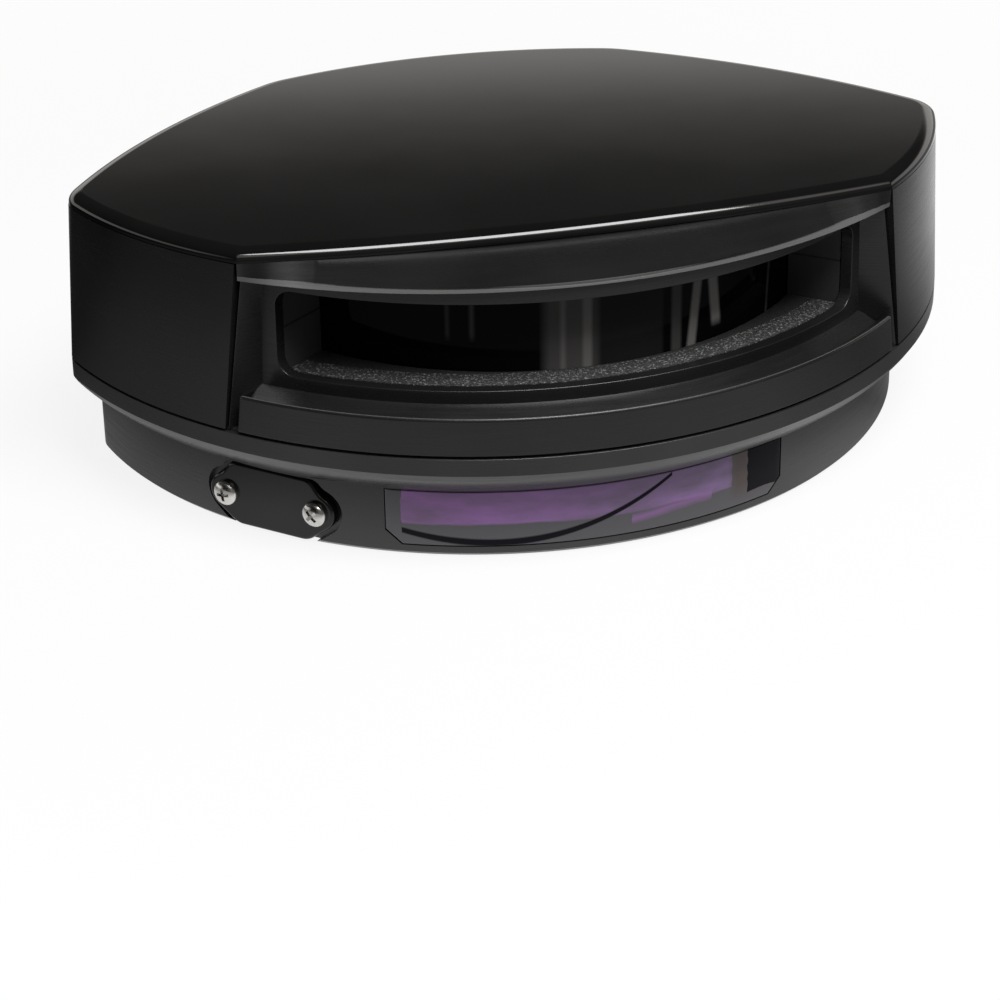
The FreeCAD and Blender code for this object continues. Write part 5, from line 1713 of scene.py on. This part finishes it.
    def jamb(self, side: Side) -> BMesh:
        """Makes one jamb: a wedge between the end cap's edge and a facet that leads to the frame.

        Args:
            side: Left or right jamb.

        Returns:
            The closed jamb.
        """
        shape = self.post(side, self.plan.seam_radius, self.frame_inner, self.gap)
        point, normal = self.opening.facet(side)
        slice_away(shape, point, -normal)
        outward(shape)
        front = [edge for edge in sharp_edges(shape, degrees=10.0)
                 if abs((edge.verts[0].co - edge.verts[1].co).z) > self.jamb_least
                 and all(abs((vert.co - point).dot(normal)) < ON_FACE for vert in edge.verts)]
        soften(shape, front, self.jamb_round, 2)
        return shape

    def flange(self, side: Side) -> BMesh:
        """Makes the flange that laps behind the end cap's wall.

        Args:
            side: Left or right flange.

        Returns:
            The closed flange.
        """
        shape = self.post(side, self.flange_outer, self.flange_inner, -self.lap)
        point, normal = self.opening.plane(side, self.flange_root)
        slice_away(shape, point, -normal)
        slice_away(shape, *self.plan.slope(self.plan.under_cover + self.flange_drop))
        slice_away(shape, UP * (self.plan.seam_top + self.gap), -UP)
        outward(shape)
        return shape


@dataclass(frozen=True)
class Post:
    """Upright posts on the base's floor, and the bore in each: its two ends and its radius."""

    places: Sequence[Pair]
    top: float
    radius: float
    bore_low: float
    bore_high: float
    bore: float


@dataclass
class BaseShell:
    """Lower housing: curved front wall, wider rounded rim, floor, posts and holes."""

    plan: CasePlan
    port: "ConnectorPort"
    radius: float = 59.3
    edge: float = 0.5
    wall_top: float = 9.6
    rim_low: float = 14.5
    rim_top: float = RIM_TOP
    rim_curve: float = 12.0
    rim_edge: float = 0.02
    floor: float = 2.4
    wall: float = 2.4
    end_round: float = 6.0
    inner_end_round: float = 3.0
    inner_kink_round: float = 9.0
    rim_root: float = 0.3
    rim_steps: int = 8
    posts: Sequence[Post] = (
        Post(CASE_SCREWS, RIM_TOP, 3.6, -OVERSHOOT, RIM_TOP + OVERSHOOT, 1.65),
        Post(((-22.0, -12.0), (22.0, -12.0), (-22.0, 12.0), (22.0, 12.0)), 7.0, 4.2, -OVERSHOOT, 6.2,
             3.0),
        Post(((-30.0, -8.0), (30.0, -8.0), (-14.0, -44.0), (14.0, -44.0)), 7.5, 2.6, 3.0, 8.0, 1.25),
        Post(((-40.0, -6.0), (40.0, -6.0), (-22.0, -34.0), (22.0, -34.0)), 18.0, 3.0, 9.0, 19.0, 1.5))
    head_seat: float = 4.0
    head_radius: float = 2.95
    pane_half: float = 27.0
    pane_low: float = 1.4
    pane_high: float = 9.4
    pane_corner: float = 2.0
    pane_thickness: float = 1.4
    pane_bearing: float = 1.6
    seat_over: float = 2.0
    way_under: float = 0.3

    def rim_profile(self) -> list[Pair]:
        """Returns (radius, height) pairs along the outside of the front wall.

        Returns:
            The pairs, from the bottom to the seam.
        """
        low = Vector((self.radius, self.wall_top))
        high = Vector((self.plan.seam_radius, self.rim_low))
        chord = high - low
        rise = math.sqrt(self.rim_curve ** 2 - (chord.length / 2.0) ** 2)
        centre = (low + high) / 2.0 + Vector((-chord.y, chord.x)).normalized() * rise
        start = math.atan2(low.y - centre.y, low.x - centre.x)
        stop = math.atan2(high.y - centre.y, high.x - centre.x)
        curve = []
        for step in range(self.rim_steps + 1):
            turn = start + (stop - start) * step / self.rim_steps
            curve.append((centre.x + self.rim_curve * math.cos(turn),
                          centre.y + self.rim_curve * math.sin(turn)))
        return [(self.radius - self.edge, 0.0), (self.radius, self.edge),
                (self.radius, self.wall_top - self.rim_root), *curve,
                (self.plan.seam_radius, self.rim_top - self.rim_edge),
                (self.plan.seam_radius - self.rim_edge, self.rim_top)]

    def build(self) -> Object:
        """Lofts the walls, then cuts the seats of the pane and the port and the holes below.

        Returns:
            The piece.
        """
        shape = bmesh.new()
        loops = []
        for radius, z in self.rim_profile():
            share = min(max((z - self.wall_top) / (self.rim_low - self.wall_top), 0.0), 1.0)
            ends = self.end_round + (self.plan.end_round - self.end_round) * share
            inset = self.edge if z == 0.0 else 0.0
            loops.append(self.plan.ring(shape, z, inset, radius + inset, ends))
        upper = self.plan.seam_radius - self.wall
        lower = self.radius - self.wall
        for radius, z in ((upper, self.rim_top), (upper, self.rim_low), (lower, self.wall_top),
                          (lower, self.floor)):
            loops.append(self.plan.ring(shape, z, self.wall, radius + self.wall, self.inner_end_round,
                                        self.inner_kink_round))
        loft(shape, loops)
        cap(shape, loops[0])
        cap(shape, loops[-1])
        outward(shape)
        for stock in self.stocks():
            shape = combine(shape, stock, Join.ADD)
        for hole in self.holes():
            shape = combine(shape, hole, Join.CUT)
        return publish("base_shell", shape, BASE_PLASTIC, "base_housing")

    def stocks(self) -> list[BMesh]:
        """Makes the posts, rooted in the floor, and the block behind the port.

        Returns:
            The shapes to add.
        """
        root = self.floor / 2.0
        return [*(rods(post.places, root, post.top, post.radius) for post in self.posts),
                self.port.stock(root, self.wall_top)]

    def holes(self) -> list[BMesh]:
        """Makes the counterbores and the posts' bores, and the seats of the pane and the port.

        Returns:
            The shapes to cut out.
        """
        return [rods(CASE_SCREWS, -OVERSHOOT, self.head_seat, self.head_radius),
                *(rods(post.places, post.bore_low, post.bore_high, post.bore) for post in self.posts),
                self.pane_seat(), self.pane_way(), self.port.recess(), self.port.way(), self.port.threads()]

    def pane_seat(self) -> BMesh:
        """Makes the block that cuts the seat of the lower window."""
        return bent_pane(self.pane_half, self.pane_low, self.pane_high, self.pane_corner,
                         self.radius + self.seat_over, self.pane_thickness + self.seat_over)

    def pane_way(self) -> BMesh:
        """Makes the block that opens the wall behind the lower window."""
        rest = self.pane_bearing
        return bent_pane(self.pane_half - rest, self.pane_low + rest, self.pane_high - rest,
                         self.pane_corner, self.radius + OVERSHOOT, self.wall + OVERSHOOT + self.way_under)


def bent_pane(half: float, low: float, high: float, corner: float, radius: float, thickness: float) -> BMesh:
    """Makes a plate with cut-off lower corners, bent round the case's axis.

    Args:
        half: Half of its width.
        low: Height of its lower edge.
        high: Height of its upper edge.
        corner: Size of the cut-off corners.
        radius: Outer radius.
        thickness: Thickness of the plate.

    Returns:
        The closed plate.
    """
    shape = block((-half, 0.0, low), (half, thickness, high))
    lines = [edge for edge in shape.edges if all(abs(vert.co.z - low) < ON_CUT for vert in edge.verts)
             and abs((edge.verts[0].co - edge.verts[1].co).y) > ON_CUT]
    soften(shape, lines, corner, 1)
    for step in range(1, PANE_STEPS):
        place = Vector((-half + 2.0 * half * step / PANE_STEPS, 0.0, 0.0))
        cut(shape, place, Vector((1.0, 0.0, 0.0)), clear=False)
    for vert in shape.verts:
        reach = radius - vert.co.y
        vert.co.y = -math.sqrt(reach ** 2 - vert.co.x ** 2)
    outward(shape)
    return shape


@dataclass
class LowerPane:
    """Coated window let into the front of the base."""

    half: float = 26.9
    low: float = 1.5
    high: float = 9.3
    corner: float = 2.0
    radius: float = 59.3
    thickness: float = 1.35
    edge: float = 0.2

    def build(self) -> Object:
        """Bends the pane and rounds its outer border.

        Returns:
            The piece.
        """
        shape = bent_pane(self.half, self.low, self.high, self.corner, self.radius, self.thickness)
        border = [edge for edge in sharp_edges(shape, degrees=40.0)
                  if all(abs(vert.co.xy.length - self.radius) < ON_FACE for vert in edge.verts)]
        soften(shape, border, self.edge, 2)
        return publish("lower_window_pane", shape, PANE_GLASS, "lower_window")


@dataclass
class ConnectorPort:
    """Plate over the connector port and its two cross-head screws."""

    turn: float = math.radians(-42.65)
    seat: float = 57.6
    gasket: float = 0.4
    thickness: float = 1.4
    top: float = 9.3
    foot: float = 0.2
    top_half: float = 6.0
    foot_half: float = 5.4
    ear: float = 2.7
    upper_turn: float = math.radians(75.0)
    lower_turn: float = math.radians(50.0)
    pitch: float = 13.6
    screw_height: float = 4.65
    edge: float = 0.45
    head_radius: float = 1.75
    head_height: float = 1.2
    shank_radius: float = 0.95
    shank_length: float = 4.5
    margin: float = 0.8
    stock_half: float = 10.0
    stock_depth: float = 3.6
    way_half: float = 4.5
    way_low: float = 2.8
    way_high: float = 7.7
    way_ends: Pair = (-8.0, 2.0)
    stock_lap: float = 0.1
    thread_gap: float = 0.05
    hole_gap: float = 0.2
    ear_steps: int = 14
    corner_round: float = 0.8
    corner_angle: float = math.radians(20.0)
    corner_steps: int = 4
    head_rim: float = 0.35
    head_steps: int = 6
    round_steps: int = 40
    screw_turn: float = 25.0
    screw_turn_change: float = 20.0
    cross_low: Triple = (-1.15, -0.24, 0.45)
    cross_high: Triple = (1.15, 0.24, 1.6)
    cross_taper: Pair = (0.55, 0.75)

    def placed(self, out: float) -> Matrix:
        """Returns the place of a piece drawn flat and facing up, a distance from the case's axis."""
        upright = Matrix.Rotation(math.radians(90.0), 4, "X")
        return Matrix.Rotation(self.turn, 4, "Z") @ Matrix.Translation((0.0, -out, 0.0)) @ upright

    def seated(self, shape: BMesh) -> BMesh:
        """Moves a shape drawn flat to the port's seat and returns it."""
        move(shape, self.placed(self.seat))
        return shape

    def outline(self, shape: BMesh, grow: float = 0.0, foot: float | None = None) -> list[BMEdge]:
        """Draws the plate's outline flat: a tapered plate with an ear round each screw.

        Args:
            shape: Mesh under construction.
            grow: How far the sides stand out from the plate's own.
            foot: Height of the lower edge where it isn't the plate's own.

        Returns:
            The outline's edges.
        """
        half = self.pitch / 2.0
        height = self.screw_height
        low = self.foot if foot is None else foot
        ear = self.ear + grow
        upper = Vector((half + ear * math.cos(self.upper_turn), height + ear * math.sin(self.upper_turn)))
        lower = Vector((half + ear * math.cos(self.lower_turn), height - ear * math.sin(self.lower_turn)))
        start = shape.verts.new((self.foot_half + grow, low, 0.0))
        right_low = shape.verts.new((*lower, 0.0))
        right_high = swing(shape, right_low, Vector((half, height)), upper, self.ear_steps)
        corners = [shape.verts.new((edge * (self.top_half + grow), self.top, 0.0)) for edge in (1.0, -1.0)]
        left_high = shape.verts.new((-upper.x, upper.y, 0.0))
        left_end = Vector((-lower.x, lower.y))
        left_low = swing(shape, left_high, Vector((-half, height)), left_end, self.ear_steps)
        end = shape.verts.new((-self.foot_half - grow, low, 0.0))
        for pair in ((start, right_low), (right_high, corners[0]), corners, (corners[1], left_high),
                     (left_low, end), (end, start)):
            shape.edges.new(pair)
        return shape.edges[:]

    def slab(self, thickness: float, grow: float = 0.0, foot: float | None = None) -> BMesh:
        """Makes a flat slab with the plate's outline, its corners eased.

        Args:
            thickness: Thickness of the slab.
            grow: How far the sides stand out from the plate's own.
            foot: Height of the lower edge where it isn't the plate's own.

        Returns:
            The closed slab, drawn flat.
        """
        shape = bmesh.new()
        cap(shape, self.outline(shape, grow, foot))
        corners = [vert for vert in shape.verts if vert.calc_edge_angle(0.0) > self.corner_angle]
        soften(shape, corners, self.corner_round, self.corner_steps, corners=True)
        thicken(shape, thickness)
        return shape

    def stock(self, low: float, high: float) -> BMesh:
        """Makes the block behind the port's seat, between two heights."""
        corner = (self.stock_half, high, self.stock_lap)
        return self.seated(block((-self.stock_half, low, -self.stock_depth), corner))

    def recess(self) -> BMesh:
        """Makes the block that cuts the plate's seat, open below."""
        return self.seated(self.slab(self.stock_depth, self.margin, -self.foot))

    def way(self) -> BMesh:
        """Makes the block that cuts the way in to the socket."""
        deep, out = self.way_ends
        return self.seated(block((-self.way_half, self.way_low, deep), (self.way_half, self.way_high, out)))

    def threads(self) -> BMesh:
        """Makes the two rods that cut the screws' threads into the seat."""
        depth = self.shank_length - self.gasket - self.thickness
        return self.seated(self.screw_rods(self.shank_radius + self.thread_gap, -depth, OVERSHOOT))

    def screw_rods(self, radius: float, low: float, high: float) -> BMesh:
        """Makes a rod at each screw, drawn flat and facing up."""
        half = self.pitch / 2.0
        return rods(((-half, self.screw_height), (half, self.screw_height)), low, high, radius)

    def plate(self) -> Object:
        """Builds the plate with a rounded outer edge and its two screw holes.

        Returns:
            The piece.
        """
        shape = self.slab(self.thickness)
        top = [edge for edge in sharp_edges(shape, degrees=60.0)
               if all(abs(vert.co.z - self.thickness) < ON_CUT for vert in edge.verts)]
        soften(shape, top, self.edge, self.corner_steps)
        hole = self.shank_radius + self.hole_gap
        holes = self.screw_rods(hole, -OVERSHOOT, self.thickness + OVERSHOOT)
        shape = combine(shape, holes, Join.CUT)
        move(shape, self.placed(self.seat + self.gasket))
        return publish("connector_cover_plate", shape, COVER_PLASTIC, "connector_cover")

    def screws(self) -> Object:
        """Builds both pan-head screws.

        Returns:
            The piece.
        """
        pair = bmesh.new()
        for side in Side:
            shape = self.screw()
            lift = Matrix.Translation((side.value * self.pitch / 2.0, self.screw_height, 0.0))
            degrees = self.screw_turn + self.screw_turn_change * side.value
            turn = Matrix.Rotation(math.radians(degrees), 4, "Z")
            move(shape, self.placed(self.seat + self.gasket + self.thickness) @ lift @ turn)
            part = bpy.data.meshes.new("screw")
            shape.to_mesh(part)
            shape.free()
            pair.from_mesh(part)
            bpy.data.meshes.remove(part)
        return publish("connector_cover_screw_pair", pair, SCREW_STEEL,
                       "connector_cover_screws", crease=40.0)

    def screw(self) -> BMesh:
        """Makes one screw: domed head with a tapered cross, and its shank.

        Returns:
            The closed screw, drawn upright.
        """
        shape = bmesh.new()
        outline = [(self.shank_radius, -self.shank_length), (self.shank_radius, 0.0),
                   (self.head_radius, 0.0), (self.head_radius, self.head_rim)]
        dome = self.head_height - self.head_rim
        for step in range(1, self.head_steps + 1):
            turn = step / self.head_steps * math.pi / 2.0
            outline.append((self.head_radius * math.cos(turn), self.head_rim + dome * math.sin(turn)))
        verts = [shape.verts.new((0.0, 0.0, -self.shank_length))]
        verts += [shape.verts.new((max(radius, 0.0), 0.0, z)) for radius, z in outline]
        edges = [shape.edges.new(pair) for pair in zip(verts, verts[1:])]
        bmesh.ops.spin(shape, geom=verts + edges, cent=(0.0, 0.0, 0.0), axis=UP, angle=math.tau,
                       steps=self.round_steps, use_merge=True)
        outward(shape)
        for degrees in (0.0, 90.0):
            blade = block(self.cross_low, self.cross_high)
            for vert in blade.verts:
                if vert.co.z < self.head_height:
                    vert.co.x *= self.cross_taper[0]
                    vert.co.y *= self.cross_taper[1]
            move(blade, Matrix.Rotation(math.radians(degrees), 4, "Z"))
            shape = combine(shape, blade, Join.CUT)
        return shape


@dataclass
class ScanBay:
    """What shows inside the slot: the curved dark window and the speckled strip in front of it."""

    scan_y: float = -12.6
    radius: float = 42.0
    thickness: float = 1.8
    low: float = 23.0
    high: float = 36.0
    angle: float = math.radians(100.0)
    strip_top: float = 24.0
    strip_front: float = 58.4
    strip_gap: float = 0.2
    throat_x: float = 31.5
    throat_y: float = -40.0
    flare: float = 1.19
    window_steps: int = 96
    front_turn: float = math.radians(46.0)
    back_turn: float = math.radians(58.0)
    strip_steps: int = 120
    strip_cuts: int = 4

    def window(self) -> Object:
        """Builds the curved window.

        Returns:
            The piece.
        """
        inner = self.radius - self.thickness
        shape = section([(self.radius, self.low), (self.radius, self.high), (inner, self.high),
                         (inner, self.low)], self.scan_y)
        spun(shape, self.angle, self.window_steps, self.scan_y)
        return publish("scan_window_glass", shape, SCAN_GLASS, "scan_window")

    def strip(self) -> Object:
        """Builds the strip between the frame and the window.

        Returns:
            The piece.
        """
        shape = bmesh.new()
        rear = self.radius + self.strip_gap
        front, back = (bow(shape, y, radius, radius * math.sin(turn), self.strip_top, self.strip_steps)
                       for y, radius, turn in ((0.0, self.strip_front, self.front_turn),
                                               (self.scan_y, rear, self.back_turn)))
        bmesh.ops.bridge_loops(shape, edges=front + back)
        across = [edge for edge in shape.edges if edge not in front and edge not in back]
        bmesh.ops.subdivide_edges(shape, edges=across, cuts=self.strip_cuts, use_grid_fill=True)
        for side in Side:
            point = Vector((side.value * self.throat_x, self.throat_y, 0.0))
            normal = Vector((side.value, self.flare, 0.0)).normalized()
            cut(shape, point, normal)
        bmesh.ops.recalc_face_normals(shape, faces=shape.faces[:])
        thicken(shape, self.low - self.strip_top)
        return publish("window_seal_strip", shape, SEAL_STRIP, "window_seal")


@dataclass
class Internals:
    """CAD nodes that stay as they are and only get their finish."""

    record: dict

    def dress(self) -> None:
        """Gives every shown CAD node the finish of its material slot."""
        for entry in self.record["subparts"]:
            finish = SLOT_FINISHES[entry["material_slot"]]
            node = frame["nodes"][entry["node"]]
            if node.hide_render:
                continue
            if not node.material_slots:
                node.data.materials.append(finish.material())
            for place in node.material_slots:
                place.material = finish.material()
            LOG.info("%s: %s", node.name, finish.name)


# The studio.

@dataclass
class Studio:
    """White floor, graded surroundings, one key light and the camera of the photograph."""

    azimuth: float = math.radians(-14.025)
    elevation: float = math.radians(24.977)
    roll: float = math.radians(-1.019)
    distance: float = 0.4128
    lens: float = 100.09
    shift: Pair = (0.01414, -0.1375)
    sensor: float = 36.0
    clip: Pair = (0.01, 50.0)
    key_place: Triple = (0.12, -0.38, 0.72)
    key_size: Pair = (0.46, 0.34)
    key_power: float = 7.5
    floor_half: float = 6.0
    floor_drop: float = 0.05 * MM
    floor_grey: float = 0.85
    floor_rough: float = 0.6
    floor_fade: Pair = (0.12, 0.4)
    floor_shadow: float = 0.12
    floor_near: float = 0.99
    floor_far: float = 1.06
    pool: Sequence[Pair] = (
        (0.0, 0.9), (0.066, 0.9), (0.078, 0.50), (0.090, 0.42), (0.105, 0.55), (0.125, 0.55),
        (0.150, 0.35), (0.200, 0.12))
    pool_end: float = 0.25
    pool_turns: Sequence[Pair] = (
        (-180.0, 0.6), (-150.0, 0.5), (-125.0, 0.03), (-100.0, 0.03), (-86.0, 0.14), (-70.0, 0.22),
        (-45.0, 0.44), (35.0, 0.42), (60.0, 0.10), (76.0, 0.14), (100.0, 0.62), (122.0, 1.0),
        (180.0, 0.7))
    pool_gain: float = 2.4
    back_sky: Sequence[Pair] = (
        (0.0, 0.9), (0.240, 0.97), (0.257, 0.76), (0.273, 0.26), (0.295, 0.06), (0.34, 0.03),
        (1.0, 0.06))
    front_sky: Sequence[Pair] = (
        (0.0, 0.12), (0.55, 0.12), (0.68, 1.0), (0.88, 1.0), (0.96, 0.08), (1.0, 0.03))
    front_turns: Sequence[Pair] = (
        (-180.0, 0.0), (-75.0, 0.04), (-40.0, 0.10), (-12.0, 1.0), (58.0, 1.0), (80.0, 0.10),
        (110.0, 0.0))
    front_gain: float = 1.5
    front_end: float = -0.3
    back_start: float = -0.05
    sky_tint: Colour = (1.0, 0.965, 0.925, 1.0)

    def build(self) -> None:
        """Sets up the whole studio."""
        bpy.context.scene.view_settings.view_transform = "Standard"
        self.floor()
        self.world()
        self.key_light()
        self.camera()

    def floor(self) -> None:
        """Adds the pale floor."""
        shape = bmesh.new()
        bmesh.ops.create_grid(shape, x_segments=2, y_segments=2, size=self.floor_half)
        bmesh.ops.translate(shape, vec=UP * -self.floor_drop, verts=shape.verts[:])
        made = as_object("floor", shape)
        made.data.materials.append(self.floor_paint())

    def floor_paint(self) -> Material:
        """Makes the floor: white to the camera, a pool of light for what it is mirrored in.

        Returns:
            The material.
        """
        sheet = NodeSheet.material("pale_floor")
        axes = sheet.axes()
        away = sheet.reach(axes["X"], axes["Y"])
        pool = sheet.ramp(away, 0.0, self.pool_end, self.pool)
        turn = sheet.bearing(axes)
        share = sheet.sums("MULTIPLY", sheet.ramp(turn, -180.0, 180.0, self.pool_turns), self.pool_gain)
        glow = self.emission(sheet, sheet.sums("MULTIPLY", pool, share))
        level = sheet.spread(away, *self.floor_fade, self.floor_near, self.floor_far)
        white = self.emission(sheet, level)
        sheet.shade(Base_Color=grey(self.floor_grey), Roughness=self.floor_rough)
        seen = self.mixed(sheet, self.floor_shadow, white, sheet.shader.outputs[0])
        both = self.mixed(sheet, sheet.seen_straight(), glow, seen)
        sheet.links.new(both, sheet.nodes["Material Output"].inputs["Surface"])
        return sheet.made

    def emission(self, sheet: NodeSheet, strength: object) -> Socket:
        """Returns a white glow.

        Args:
            sheet: Node sheet of the floor.
            strength: Strength of the glow.

        Returns:
            The shader.
        """
        node = sheet.nodes.new("ShaderNodeEmission")
        sheet.put(node.inputs["Strength"], strength)
        return node.outputs[0]

    def mixed(self, sheet: NodeSheet, amount: object, first: Socket,
              second: Socket) -> Socket:
        """Returns a mix of two shaders.

        Args:
            sheet: Node sheet of the floor.
            amount: Share of the second shader.
            first: First shader.
            second: Second shader.

        Returns:
            The mixed shader.
        """
        node = sheet.nodes.new("ShaderNodeMixShader")
        sheet.put(node.inputs["Fac"], amount)
        sheet.put(node.inputs[1], first)
        sheet.put(node.inputs[2], second)
        return node.outputs[0]

    def world(self) -> None:
        """Makes the surroundings: a bright low back with dark above it, and a light high in front."""
        sheet = NodeSheet.world("studio")
        bpy.context.scene.world = sheet.made
        axes = sheet.axes()
        behind = sheet.ramp(axes["Z"], 0.0, 1.0, self.back_sky)
        turn = sheet.bearing(axes)
        before = sheet.sums("MULTIPLY", sheet.ramp(axes["Z"], 0.0, 1.0, self.front_sky), self.front_gain)
        before = sheet.sums("MULTIPLY", before, sheet.ramp(turn, -180.0, 180.0, self.front_turns))
        level = sheet.blend(sheet.rise(axes["Y"], self.front_end, self.back_start), before, behind)
        sheet.shade(Color=self.sky_tint, Strength=sheet.sums("MAXIMUM", level, sheet.seen_straight()))

    def key_light(self) -> None:
        """Adds the rectangular lamp that faces the sensor."""
        lamp = bpy.data.lights.new("key_box", "AREA")
        lamp.shape = "RECTANGLE"
        lamp.size, lamp.size_y = self.key_size
        lamp.energy = self.key_power
        made = bpy.data.objects.new("key_box", lamp)
        made.location = self.key_place
        made.rotation_euler = (-Vector(self.key_place)).to_track_quat("-Z", "Y").to_euler()
        bpy.context.scene.collection.objects.link(made)

    def camera(self) -> None:
        """Adds the camera at the photograph's place."""
        level = math.cos(self.elevation)
        back = Vector((math.sin(self.azimuth) * level, -math.cos(self.azimuth) * level,
                       math.sin(self.elevation)))
        right = Vector((math.cos(self.azimuth), math.sin(self.azimuth), 0.0))
        up = back.cross(right)
        turned_right = right * math.cos(self.roll) + up * math.sin(self.roll)
        turned_up = up * math.cos(self.roll) - right * math.sin(self.roll)
        data = bpy.data.cameras.new("camera")
        data.sensor_width = self.sensor
        data.lens = self.lens
        data.shift_x, data.shift_y = self.shift
        data.clip_start, data.clip_end = self.clip
        made = bpy.data.objects.new("camera", data)
        turn = Matrix((turned_right, turned_up, back)).transposed().to_4x4()
        made.matrix_world = Matrix.Translation(back * self.distance) @ turn
        bpy.context.scene.collection.objects.link(made)
        bpy.context.scene.camera = made


def main() -> None:
    """Builds every sub-assembly, dresses the rest and sets up the studio."""
    logging.basicConfig(level=logging.INFO, format="%(name)s %(message)s")
    plan = CasePlan()
    opening = Opening()
    shell = UpperShell(plan, opening)
    shell.housing()
    shell.cover()
    FrontBezel(plan, opening).build()
    port = ConnectorPort()
    BaseShell(plan, port).build()
    LowerPane().build()
    port.plate()
    port.screws()
    bay = ScanBay()
    bay.window()
    bay.strip()
    Internals(frame["record"]).dress()
    Studio().build()


if __name__ == "__main__":
    main()
